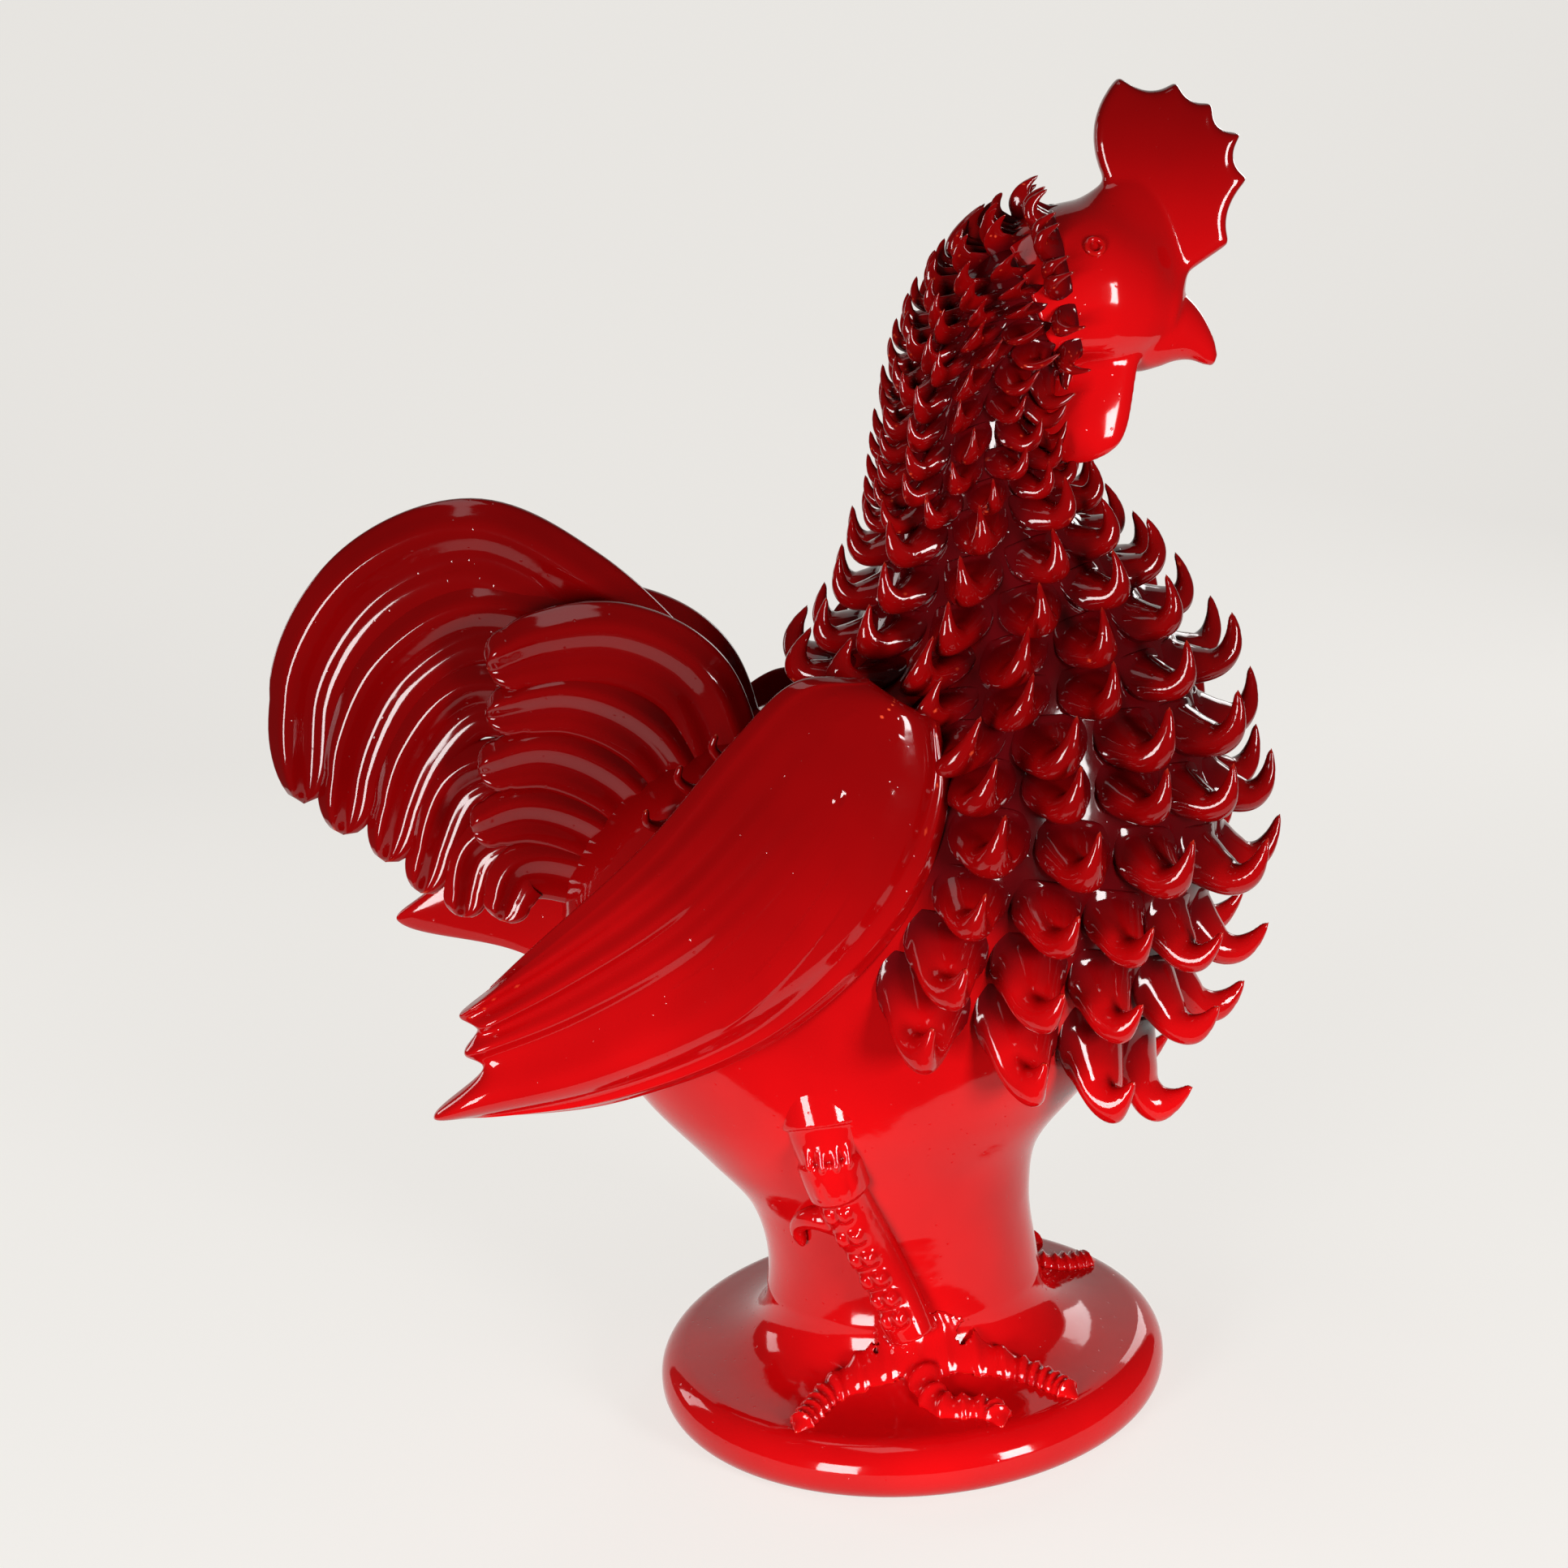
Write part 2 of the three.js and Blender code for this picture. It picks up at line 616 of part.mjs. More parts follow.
// Half width of the skin at a point in side view
function skinReach(x, z) {
  const found = Array.from({ length: 81 }, (_, i) => i / 10).map((station) => {
    const s = slice(station);
    const from = vec(x, 0, z).sub(s.centre);
    return { miss: Math.abs(from.dot(s.rise)), share: from.dot(s.along) / s.length, half: s.half };
  }).sort((a, b) => a.miss - b.miss)[0];
  return found.half * Math.sqrt(Math.max(0, 1 - found.share ** 2));
}

function leg(side, grow = 0) {
  const forward = side === SIDES.left ? LEFT_FOOT_FORWARD : 0;
  const line = new THREE.CatmullRomCurve3(LEG_LINE.map(([x, z]) =>
    vec(x + forward, side * (skinReach(x + forward, z) + 0.5), z)));
  const length = line.getLength();
  return rod(line, 9, 8, (t) => {
    const down = t * length;
    const shank = SHANK_RADIUS - SHANK_TAPER * t;
    const lowerCollar = down < CUFF_HEIGHT + LOWER_COLLAR_HEIGHT ? CUFF_RADIUS - COLLAR_STEP : shank;
    const radius = down < CUFF_HEIGHT ? CUFF_RADIUS : lowerCollar;
    return [radius + grow, radius + grow];
  });
}

function spur(side) {
  const forward = side === SIDES.left ? LEFT_FOOT_FORWARD : 0;
  const line = new THREE.CatmullRomCurve3(SPUR_LINE.map(([x, z]) =>
    vec(x + forward, side * (skinReach(x + forward, z) + 3), z)));
  return rod(line, 4, 6, (t) => [mix(SPUR_THICKNESS / 2, 1, t), mix(SPUR_THICKNESS / 2, 1, t)]);
}

// Height of what a toe lies on: the base's top, or the flared foot of the stem
function footing(x, y) {
  const [foot, above] = STATIONS;
  const share = Math.hypot(x / foot.front[0], y / foot.half);
  const flare = THREE.MathUtils.clamp((1 - share) / (1 - above.half / foot.half), 0, 1) * above.front[1];
  return baseTop(Math.hypot(x, y)) - BASE_HEIGHT + flare;
}

function toe(side, name, grow = 0) {
  const forward = side === SIDES.left ? LEFT_FOOT_FORWARD : 0;
  const [kneeX, kneeZ] = LEG_LINE[LEG_LINE.length - 1];
  const turn = side === SIDES.left ? radians(LEFT_TOE_TURN) : 0;
  const angle = radians(TOE_ANGLES[name]) + turn;
  const onBase = (radius) => vec(Math.cos(angle) * radius, Math.sin(angle) * radius, 0);
  const bow = vec(...TOE_BOWS[name], 0).applyAxisAngle(vec(0, 0, 1), turn);
  const tip = BASE_RADIUS - TOE_INSET;
  const knee = vec(kneeX + forward, -skinReach(kneeX + forward, kneeZ) - 1, 0);
  const line = new THREE.CatmullRomCurve3([knee, bow, onBase(tip - 8), onBase(tip)]
    .map((p) => vec(p.x, -side * p.y, 0)));
  const steps = 2 * TOE_RIDGES;
  const rings = Array.from({ length: steps + 1 }, (_, i) => {
    const t = i / steps;
    const at = line.getPoint(t);
    const along = line.getTangent(t);
    const across = vec(-along.y, along.x, 0);
    const ridge = i % 2 ? TOE_RIDGE_HEIGHT : 0;
    const radius = (TOE_RADIUS * mix(1, 0.72, t) + ridge) * (i === steps ? 0.5 : 1) + grow;
    const lay = (sideways, lift) => {
      const p = at.clone().addScaledVector(across, sideways * radius);
      return p.setZ(footing(p.x, p.y) + TOE_SEAT - grow + lift * radius);
    };
    return TOE_SECTION.map(([sideways, lift]) => lay(sideways, lift));
  });
  return loft(rings);
}

// A pinched strip of clay with three thin thorns, on each flank before the tail
const THORN_STATIONS = [8.9, 9.4, 9.9];
const THORN_ANGLE = radians(140);
const THORN_STRIP = [2.2, 2.6];
const THORN_RADII = { root: [2.2, 2], tip: [0.8, 0.8] };
const THORN_BOW = 3;

function saddleThorns(side) {
  const frames = THORN_STATIONS.map((station) => skinFrame(station, side * THORN_ANGLE));
  const strip = new THREE.CatmullRomCurve3(frames.map(({ at, out }) => at.addScaledVector(out, 1)));
  const body = rod(strip, 4, 6, () => THORN_STRIP);
  const thorns = frames.map(({ at, out, down }) => {
    const place = (reach, drop) => at.clone().addScaledVector(out, reach).addScaledVector(down, drop);
    const line = new THREE.CatmullRomCurve3([
      place(0, 0), place(THORN_LENGTH * 0.4, THORN_BOW), place(THORN_LENGTH * 0.8, THORN_BOW),
      place(THORN_LENGTH, 0)]);
    const radii = (t) => THORN_RADII.root.map((root, i) => mix(root, THORN_RADII.tip[i], t));
    return rod(line, 4, 5, radii, vec(0, 1, 0), true);
  });
  return joined([body, ...thorns]);
}

// A scale is a tongue of clay pressed on at its upper end, hanging down the skin and
// curled out into a hook. After its root it has two steps and a tip, as shares of its
// reach (out), its drop (down) and its width. Lean turns a step's front face upwards.
const HOOK = [
  { out: 0.31, down: 1, width: 0.7, thick: 1.4, lean: 0.6 },
  { out: 0.76, down: 0.94, width: 0.42, thick: 1, lean: 1.5 },
];
const BELLY_WIDTH = 0.66;
const HOOK_TIP = { out: 1, down: 0.2, lowestDown: 0.75 };
const LEVEL_ROWS = 3;

// The two steps and the tip of one hook, with four corners a step in the order of the
// root face: inner and outer on the side where the row begins, then outer and inner
function hook({ at, out, side, down }, size) {
  const place = (reach, drop, sway) => at.clone()
    .addScaledVector(out, reach * size.reach + size.seat + size.flare * drop * size.drop)
    .addScaledVector(down, drop * size.drop)
    .addScaledVector(side, sway * size.sway);
  const steps = HOOK.map((step) => {
    const centre = place(step.out, step.down, step.out);
    const face = out.clone().multiplyScalar(Math.cos(step.lean)).addScaledVector(down, -Math.sin(step.lean));
    const half = (size.width * step.width) / 2;
    const thick = SCALE_ROOT_THICKNESS * step.thick * size.thick;
    const belly = half * BELLY_WIDTH;
    return [[-belly, 0], [-half, thick], [half, thick], [belly, 0]].map(([s, f]) =>
      centre.clone().addScaledVector(side, s).addScaledVector(face, f));
  });
  return { steps, tip: place(HOOK_TIP.out, size.tipDown, 1) };
}

// A path round the skin on which a row is set: the angle found for a distance from
// its middle, which lies on the breast line (angle 0) or the back line (180 degrees)
function rowPath(stationAt, middleAngle) {
  const STEPS = 180;
  const lengths = [0];
  for (let i = 1; i <= STEPS; i += 1) {
    const [from, to] = [i - 1, i].map((step) => middleAngle + (Math.PI * step) / STEPS);
    lengths.push(lengths[i - 1] + skinPoint(stationAt(from), from).distanceTo(skinPoint(stationAt(to), to)));
  }
  const angleAt = (distance) => {
    const far = Math.min(Math.abs(distance), lengths[STEPS] - 1e-6);
    const past = Math.max(1, lengths.findIndex((length) => length > far));
    const share = (far - lengths[past - 1]) / (lengths[past] - lengths[past - 1]);
    return middleAngle + (Math.sign(distance) * Math.PI * (past - 1 + share)) / STEPS;
  };
  return { half: lengths[STEPS], lengths, angleAt };
}

// The rows, from the lowest bib row up to the hood. A bib row is an open arc over the
// breast that climbs at its ends. A neck row is a ring, or over the nape an open arc
// that ends at the face. Rows are spaced evenly along the breast line and back line.
const crowded = (share, crowding) => share * (1 + crowding * (1 - share));

// Station numbers found for a distance along the breast line or the back line
function stationsAlong(angle) {
  const STEP = 0.1;
  const lengths = [0];
  for (let i = 1; i * STEP <= LAST_STATION; i += 1) {
    lengths.push(lengths[i - 1] + skinPoint((i - 1) * STEP, angle).distanceTo(skinPoint(i * STEP, angle)));
  }
  const last = lengths.length - 1;
  const lengthAt = (station) => lengths[Math.round(station / STEP)];
  const stationAt = (length) => {
    const beyond = (length - lengths[last]) / (lengths[last] - lengths[last - 1]);
    if (beyond >= 0) return LAST_STATION + beyond;
    const past = Math.max(1, lengths.findIndex((value) => value > length));
    return (past - 1 + (length - lengths[past - 1]) / (lengths[past] - lengths[past - 1])) * STEP;
  };
  return { lengthAt, stationAt };
}
const breastLine = stationsAlong(0);
const napeLine = stationsAlong(Math.PI);

function rowStation(row) {
  const lowest = breastLine.lengthAt(BIB_LOW_STATION);
  const bibLength = breastLine.lengthAt(BIB_TOP_STATION) - lowest;
  if (row < BREAST_ROWS) {
    const share = row / BREAST_ROWS;
    const middle = breastLine.stationAt(lowest + bibLength * crowded(share, BIB_CROWDING));
    const perStation = skinPoint(middle + 0.5, 0).distanceTo(skinPoint(middle - 0.5, 0));
    const climb = (BIB_RISE * (1 - share)) / perStation;
    return (angle) => middle + climb * (1 - Math.cos(angle));
  }
  const share = crowded((row - BREAST_ROWS) / (NECK_ROWS - 1), NECK_CROWDING);
  const napeStart = napeLine.lengthAt(BIB_TOP_STATION);
  const napeLength = napeLine.lengthAt(HOOD_STATION) - napeStart;
  const rear = napeLine.stationAt(napeStart + napeLength * share);
  const front = breastLine.stationAt(lowest + bibLength + napeLength * share);
  return (angle) => Math.min(HOOD_STATION, mix(rear, front, (1 + Math.cos(angle)) / 2));
}

function rowPlan(row) {
  const stationAt = rowStation(row);
  if (row < BREAST_ROWS) {
    const share = row / BREAST_ROWS;
    return {
      path: rowPath(stationAt, 0),
      stationAt,
      span: mix(BIB_SPAN_LOW, BIB_SPAN_TOP, share),
      pitch: mix(BREAST_SCALE_PITCH, BREAST_SCALE_PITCH * 0.8, share),
      reach: mix(BREAST_SCALE_REACH, BREAST_SCALE_REACH * 0.8, share),
      curl: mix(0.95, 0.8, share),
    };
  }
  const share = (row - BREAST_ROWS) / (NECK_ROWS - 1);
  const path = rowPath(stationAt, Math.PI);
  const faceStep = path.lengths.findIndex((_, i) => {
    const angle = Math.PI + (Math.PI * i) / (path.lengths.length - 1);
    return stationAt(angle) >= HOOD_STATION - mix(NAPE_MARGIN, FACE_MARGIN, ((1 + Math.cos(angle)) / 2) ** 3);
  });
  return {
    path,
    stationAt,
    span: faceStep > 0 && share < 1 ? path.lengths[faceStep] : path.half,
    closed: faceStep < 0 || share === 1,
    pitch: mix(BREAST_SCALE_PITCH * 0.75, NECK_SCALE_PITCH, share ** 0.6),
    reach: mix(BREAST_SCALE_REACH * 0.7, NECK_SCALE_REACH, share ** 0.7),
    curl: 0.75,
  };
}

function scaleRow(row) {
  const plan = rowPlan(row);
  const { path, stationAt, span, closed } = plan;
  const stationBelow = rowStation(row - 1);
  const odd = row % 2;
  const count = closed ? Math.round((2 * span) / plan.pitch)
    : 2 * Math.max(1 - odd, Math.round(span / plan.pitch - odd / 2)) + odd;
  const pitch = (2 * span) / count;
  const offset = closed && odd ? 0.5 : 0;
  const angleAt = (place) => {
    const distance = (place + offset - count / 2) * pitch;
    return path.angleAt(distance > path.half ? distance - 2 * path.half : distance);
  };
  const onSkin = (place) => skinPoint(stationAt(angleAt(place)), angleAt(place));
  const skinFrameAt = (place) => skinFrame(stationAt(angleAt(place)), angleAt(place));
  const sagAt = (place) => {
    const { at, out } = skinFrameAt(place);
    const chord = onSkin(place - 0.5).add(onSkin(place + 0.5)).multiplyScalar(0.5);
    return THREE.MathUtils.clamp(at.sub(chord).dot(out), 0, SCALE_SEAT_LIMIT);
  };
  const frameAt = (place) => {
    const angle = angleAt(place);
    const frame = skinFrameAt(place);
    const sag = Math.max(sagAt(place - 0.5), sagAt(place), sagAt(place + 0.5));
    const below = skinPoint(stationBelow(angle), angle);
    const run = onSkin(place + 0.1).sub(frame.at).normalize();
    const room = row ? frame.at.distanceTo(below) * Math.abs(run.dot(frame.side)) : plan.reach;
    const flare = row ? Math.max(0, below.sub(frame.at).dot(frame.out) / Math.max(room, 1)) : 0;
    return { ...frame, side: run, room, flare, seat: SCALE_CLEARANCE + sag };
  };
  const points = [];
  const faces = [];
  const quad = (a, b, c, d) => faces.push(a, b, c, a, c, d);
  const ends = closed ? count : count + 1;
  for (let i = 0; i < ends; i += 1) {
    const { at, out, down, seat } = frameAt(i);
    const corner = (reach, drop) => at.clone().addScaledVector(out, reach).addScaledVector(down, drop);
    const outside = seat + SCALE_ROOT_THICKNESS;
    points.push(corner(seat, -SCALE_ROOT_HEIGHT), corner(seat, 0));
    points.push(corner(outside, 0), corner(outside, -SCALE_ROOT_HEIGHT));
  }
  for (let i = 0; i < count; i += 1) {
    const from = 4 * i;
    const to = 4 * ((i + 1) % ends);
    [[0, 1], [2, 3], [3, 0]].forEach(([a, b]) => quad(from + a, from + b, to + b, to + a));
    const frame = frameAt(i + 0.5);
    const room = Math.min(frame.room, frameAt(i).room, frameAt(i + 1).room);
    const { steps, tip } = hook(frame, {
      width: pitch,
      reach: Math.min(plan.reach * (1 + 0.2 * handmade(row, i)), SCALE_SLENDER * room),
      drop: Math.min(plan.reach * plan.curl, SCALE_ROOM * room),
      tipDown: mix(HOOK_TIP.lowestDown, HOOK_TIP.down, Math.min(1, row / LEVEL_ROWS)),
      thick: plan.reach / BREAST_SCALE_REACH,
      sway: handmade(row + 40, i) * pitch * 0.2,
      seat: frame.seat,
      flare: Math.max(frame.flare, frameAt(i).flare, frameAt(i + 1).flare),
    });
    let loop = [from + 1, from + 2, to + 2, to + 1];
    steps.forEach((step) => {
      const next = step.map((_, k) => points.length + k);
      points.push(...step);
      loop.forEach((a, k) => quad(a, loop[(k + 1) % 4], next[(k + 1) % 4], next[k]));
      loop = next;
    });
    points.push(tip);
    loop.forEach((a, k) => faces.push(a, loop[(k + 1) % 4], points.length - 1));
  }
  if (!closed) {
    quad(3, 2, 1, 0);
    quad(4 * count, 4 * count + 1, 4 * count + 2, 4 * count + 3);
  }
  const geometry = new THREE.BufferGeometry().setFromPoints(points);
  geometry.setIndex(faces);
  return outward(geometry);
}

// Assembly: every piece is cut by what it is seated on
const glazeRed = '#a80f12';
const bird = new THREE.Group();
bird.position.z = BASE_HEIGHT;
const stand = new THREE.Group();
const cockerel = new THREE.Group();
cockerel.add(stand, bird);

function add(name, body, group = bird) {
  const material = new THREE.MeshStandardMaterial({ color: glazeRed, roughness: 0.12, metalness: 0 });
  const mesh = new THREE.Mesh(geometryOf(body), material);
  mesh.name = name;
  group.add(mesh);
}

add('base_disc', baseDisc(), stand);
add('pedestal', shell(0, STEM_TOP, 0).trimByPlane([0, 0, 1], JOINT_GAP));
add('body_shell', shell(STEM_TOP, BODY_TOP, 0));
add('neck_shell', shell(BODY_TOP, NECK_TOP, 0));
add('head', head());
add('comb', cutBy(comb(), beakCutter));
add('beak', beak());

Object.entries(SIDES).forEach(([name, side]) => {
  add(`wattle_${name}`, cutBy(wattle(side), skinCutter, beakCutter));
  add(`wing_${name}`, cutBy(wing(side), skinCutter));
  const legCutter = leg(side, JOINT_GAP);
  add(`leg_${name}`, cutBy(leg(side).add(spur(side)), skinCutter, baseCutter));
  const laid = [];
  Object.keys(TOE_ANGLES).forEach((toeName) => {
    add(`toe_${toeName}_${name}`, cutBy(toe(side, toeName), skinCutter, baseCutter, legCutter, ...laid));
    laid.push(toe(side, toeName, JOINT_GAP));
  });
  add(`saddle_thorns_${name}`, cutBy(saddleThorns(side), skinCutter));
});

const wingCutters = Object.values(SIDES).map((side) => wing(side, 4 * JOINT_GAP));
[['middle', 0, MIDDLE_SICKLES], ['right', -1, SIDE_SICKLES], ['left', 1, SIDE_SICKLES]].forEach(
  ([layerName, layer, sickles]) => {
    const laid = [skinCutter, ...wingCutters];
    sickles.forEach((feather, i) => {
      add(`sickle_${layerName}_${i + 1}`, cutBy(sickle(feather, layer), ...laid));
      laid.push(sickle(feather, layer, JOINT_GAP));
    });
  });

const rowCutters = [...wingCutters, ...Object.values(SIDES).map((side) => wattle(side, JOINT_GAP))];
for (let row = 0; row < BREAST_ROWS + NECK_ROWS; row += 1) {
  const under = row === BREAST_ROWS + NECK_ROWS - 1 ? [skinCutter] : [];
  add(`scale_row_${String(row + 1).padStart(2, '0')}`, cutBy(scaleRow(row), ...rowCutters, ...under));
}

export default cockerel;
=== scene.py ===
# %% [markdown]
# A red glazed ceramic cockerel
# This lesson builds a hand-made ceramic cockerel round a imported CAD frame.
# The real one is thrown and modelled in red clay, and one thick glossy red glaze covers it all.
# Thick glaze rounds every edge, so the pieces here are dense smooth lofts. Where pieces of
# clay were pressed together, one skin is drawn over them and softened, as the glaze does it.

# %% Open the frame
import math

import bmesh
import bpy
import numpy as np
from mathutils import Matrix, Vector


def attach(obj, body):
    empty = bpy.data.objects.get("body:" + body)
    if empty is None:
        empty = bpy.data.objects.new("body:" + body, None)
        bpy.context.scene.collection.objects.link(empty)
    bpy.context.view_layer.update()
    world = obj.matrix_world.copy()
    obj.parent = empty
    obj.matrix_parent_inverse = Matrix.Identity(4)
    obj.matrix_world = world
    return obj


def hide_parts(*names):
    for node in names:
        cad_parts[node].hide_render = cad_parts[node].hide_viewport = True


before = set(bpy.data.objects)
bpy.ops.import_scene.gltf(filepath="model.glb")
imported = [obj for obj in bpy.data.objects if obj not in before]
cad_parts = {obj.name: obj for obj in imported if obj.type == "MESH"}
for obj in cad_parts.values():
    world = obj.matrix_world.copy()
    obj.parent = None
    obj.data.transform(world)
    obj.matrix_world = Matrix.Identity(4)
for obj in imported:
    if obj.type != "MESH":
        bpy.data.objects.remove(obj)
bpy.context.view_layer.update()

# %% [markdown]
# Sizes
# The object is measured in millimetres, as a potter would, and Blender works in metres.
# Heights of the bird are counted from the top of its round base, which is 19 mm tall.

# %% Sizes of the clay
MM = 0.001
BASE_RADIUS, BASE_HEIGHT, BASE_CROWN, BASE_UNDERCUT, BASE_ROUND = 75, 19, 3, 4, 9
RIGHT, LEFT = -1, 1
SIDE_NAMES = {RIGHT: "right", LEFT: "left"}


def mix(a, b, t):
    return a + (b - a) * t


def unit(v):
    v = np.asarray(v, float)
    return v / np.maximum(np.linalg.norm(v, axis=-1, keepdims=True), 1e-12)


def eased(x, places, values):
    """Like np.interp, but it comes to rest at every place, so peaks and dips are round."""
    places, values = np.asarray(places, float), np.asarray(values, float)
    i = np.clip(np.searchsorted(places, x, side="right") - 1, 0, len(places) - 2)
    share = np.clip((x - places[i]) / (places[i + 1] - places[i]), 0, 1)
    return mix(values[i], values[i + 1], 0.5 - 0.5 * np.cos(math.pi * share))


def handmade(row, place):
    """A small repeatable unevenness between -0.5 and 0.5, as a hand leaves it."""
    wave = math.sin(row * 12.9898 + place * 78.233) * 43758.5453
    return wave - math.floor(wave) - 0.5


print("base", 2 * BASE_RADIUS, "mm across and", BASE_HEIGHT, "mm tall")

# %% [markdown]
# Curves
# Every long form follows a smooth curve through a few points. A Catmull-Rom curve passes
# through all of its points, which makes it easy to lay over side-view measurements. The
# centripetal kind, used here, never makes loops where the points lie close together.

# %% A smooth line through points


class Line:
    """A centripetal Catmull-Rom curve; at(t) gives its points for t from 0 to 1."""

    def __init__(self, points):
        p = np.asarray(points, float)
        if p.shape[1] == 2:
            p = np.column_stack([p[:, 0], np.zeros(len(p)), p[:, 1]])
        self.p = np.vstack([2 * p[0] - p[1], p, 2 * p[-1] - p[-2]])
        self.spans = len(p) - 1

    def at(self, t):
        t = np.clip(np.atleast_1d(np.asarray(t, float)), 0, 1)
        run = t * self.spans
        i = np.minimum(run.astype(int), self.spans - 1)
        w = (run - i)[:, None]
        x0, x1, x2, x3 = (self.p[i + k] for k in range(4))
        d0, d1, d2 = (np.maximum(((b - a) ** 2).sum(1), 1e-12)[:, None] ** 0.25
                      for a, b in ((x0, x1), (x1, x2), (x2, x3)))
        leave = ((x1 - x0) / d0 - (x2 - x0) / (d0 + d1) + (x2 - x1) / d1) * d1
        reach = ((x2 - x1) / d1 - (x3 - x1) / (d1 + d2) + (x3 - x2) / d2) * d1
        return (x1 + leave * w + (-3 * x1 + 3 * x2 - 2 * leave - reach) * w ** 2
                + (2 * x1 - 2 * x2 + leave + reach) * w ** 3)

    def along(self, t):
        t = np.atleast_1d(np.asarray(t, float))
        return unit(self.at(np.minimum(t + 1e-3, 1)) - self.at(np.maximum(t - 1e-3, 0)))

    def length(self, steps=160):
        p = self.at(np.linspace(0, 1, steps))
        return float(np.linalg.norm(np.diff(p, axis=0), axis=1).sum())


print("a line from (0, 0) to (3, 4) is %.1f long" % Line([[0, 0], [3, 4]]).length())

# %% [markdown]
# Lofts
# A loft joins one ring of points to the next, like a sleeve pulled over hoops. Several
# lofts can go into one mesh, so a whole row of scales is still one piece of the scene. A mesh
# can also carry a number at each point, and here that number says how much painted shade falls there.

# %% Pieces of clay


class Clay:
    """Collects lofts in millimetres and turns them into one Blender object."""

    def __init__(self):
        self.points, self.faces, self.count = [], [], 0

    def loft(self, rings, start=True, end=True):
        """Joins rings of points into a sleeve, and closes its ends with fans of triangles."""
        rings = np.asarray(rings, float)
        levels, sides = rings.shape[:2]
        at = self.count + np.arange(levels * sides).reshape(levels, sides)
        nxt = np.roll(at, -1, axis=1)
        self.points.append(rings.reshape(-1, 3))
        self.count += levels * sides
        quads = np.stack([at[:-1], nxt[:-1], nxt[1:], at[1:]], axis=-1).reshape(-1, 4)
        self.faces += quads.tolist()
        for closed, row, turn in ((start, 0, -1), (end, levels - 1, 1)):
            if not closed:
                continue
            self.points.append(rings[row].mean(axis=0)[None])
            centre = self.count
            self.count += 1
            for a, b in zip(at[row], nxt[row]):
                self.faces.append([int(a), int(b), centre][::turn])
        return self

    def copy(self, points, faces):
        """Adds a ready form, given by its points and faces."""
        self.points.append(points)
        self.faces += [[v + self.count for v in f] for f in faces]
        self.count += len(points)

    def object(self, name, lift=BASE_HEIGHT, painted_shade=None):
        mesh = bpy.data.meshes.new(name)
        points = np.vstack(self.points)
        mesh.from_pydata(((points + [0, 0, lift]) * MM).tolist(), [], self.faces)
        made = bpy.data.objects.new(name, mesh)
        bpy.context.collection.objects.link(made)
        face_outwards(made, painted_shade is None)
        # The numbers are painted shade, from none at 0 to full at 1
        if painted_shade is not None:
            mesh.attributes.new("painted_shade", "FLOAT", "POINT").data.foreach_set("value", painted_shade)
        return made


print("forms of clay can be lofted")

# %% Turn the faces outwards


def face_outwards(made, weld):
    """Turns every face outwards. Points that meet are welded, unless they carry a number."""
    work = bmesh.new()
    work.from_mesh(made.data)
    if weld:
        bmesh.ops.remove_doubles(work, verts=work.verts, dist=0.001 * MM)
    bmesh.ops.recalc_face_normals(work, faces=work.faces)
    work.to_mesh(made.data)
    work.free()
    made.data.shade_smooth()


print("pieces of clay can be made")

# %% [markdown]
# Melting and rods
# A voxel remesh draws one skin over forms that cut into each other, and a few rounds of
# smoothing round the joints. A rod is the form of beak, feathers, legs and horns: rings that
# stand square to a curve, with a half width and a half thickness at each place.

# %% Melt clay together


def bake_modifiers(made):
    """Replaces an object's mesh by the mesh that its modifiers give."""
    graph = bpy.context.evaluated_depsgraph_get()
    mesh = bpy.data.meshes.new_from_object(made.evaluated_get(graph))
    made.modifiers.clear()
    made.data = mesh
    made.data.shade_smooth()
    return made


def melted(made, voxel, rounds):
    """Joins the clay forms of one object under one skin of glaze."""
    remesh = made.modifiers.new("one skin", "REMESH")
    remesh.mode = "VOXEL"
    remesh.voxel_size = voxel * MM
    soften = made.modifiers.new("glaze", "SMOOTH")
    soften.factor = 0.5
    soften.iterations = rounds
    return bake_modifiers(made)


def mesh_of(made):
    """The points of an object in millimetres and its faces, and the object is taken away."""
    mesh = made.data
    points = np.empty(len(mesh.vertices) * 3)
    mesh.vertices.foreach_get("co", points)
    faces = [list(f.vertices) for f in mesh.polygons]
    bpy.data.objects.remove(made)
    return points.reshape(-1, 3) / MM, faces


print("melting is ready")

# %% Rods
SIDEWAYS = np.array([0, 1, 0.0])


def oval(a):
    return np.cos(a), np.sin(a)


def rod(line, steps, sides, radii, section=oval):
    """Rings of a rod along a line. radii(t) gives its half width in side view and half depth."""
    t = np.linspace(0, 1, steps)
    centre, along = line.at(t), line.along(t)
    across = unit(np.cross(SIDEWAYS, along))
    thick = unit(np.cross(along, across))
    turn = np.linspace(0, 2 * math.pi, sides, endpoint=False)
    x, y = section(turn)
    rings = []
    for k in range(steps):
        wide, deep = radii(t[k])
        rings.append(centre[k] + np.outer(x * wide, across[k]) + np.outer(y * deep, thick[k]))
    return np.array(rings)


def round_end(t, start):
    """1 along most of a rod, then falling to nothing in a quarter circle from t = start."""
    past = np.clip((t - start) / (1 - start), 0, 1)
    return np.sqrt(np.maximum(1 - past ** 2, 1e-4))


print("halfway into its round end a rod has %.2f of its width" % round_end(0.95, 0.9))

# %% [markdown]
# The skin of the bird
# Stem, body, neck and head share one smooth skin. In CAD it is described by slices: a back
# point, a front point and a half width. The slices start level at the foot and turn with
# the neck until they stand upright at the face. The same slices are used here, only finer. A
# station is a place along them: station 3.5 lies halfway between the slices 3 and 4.

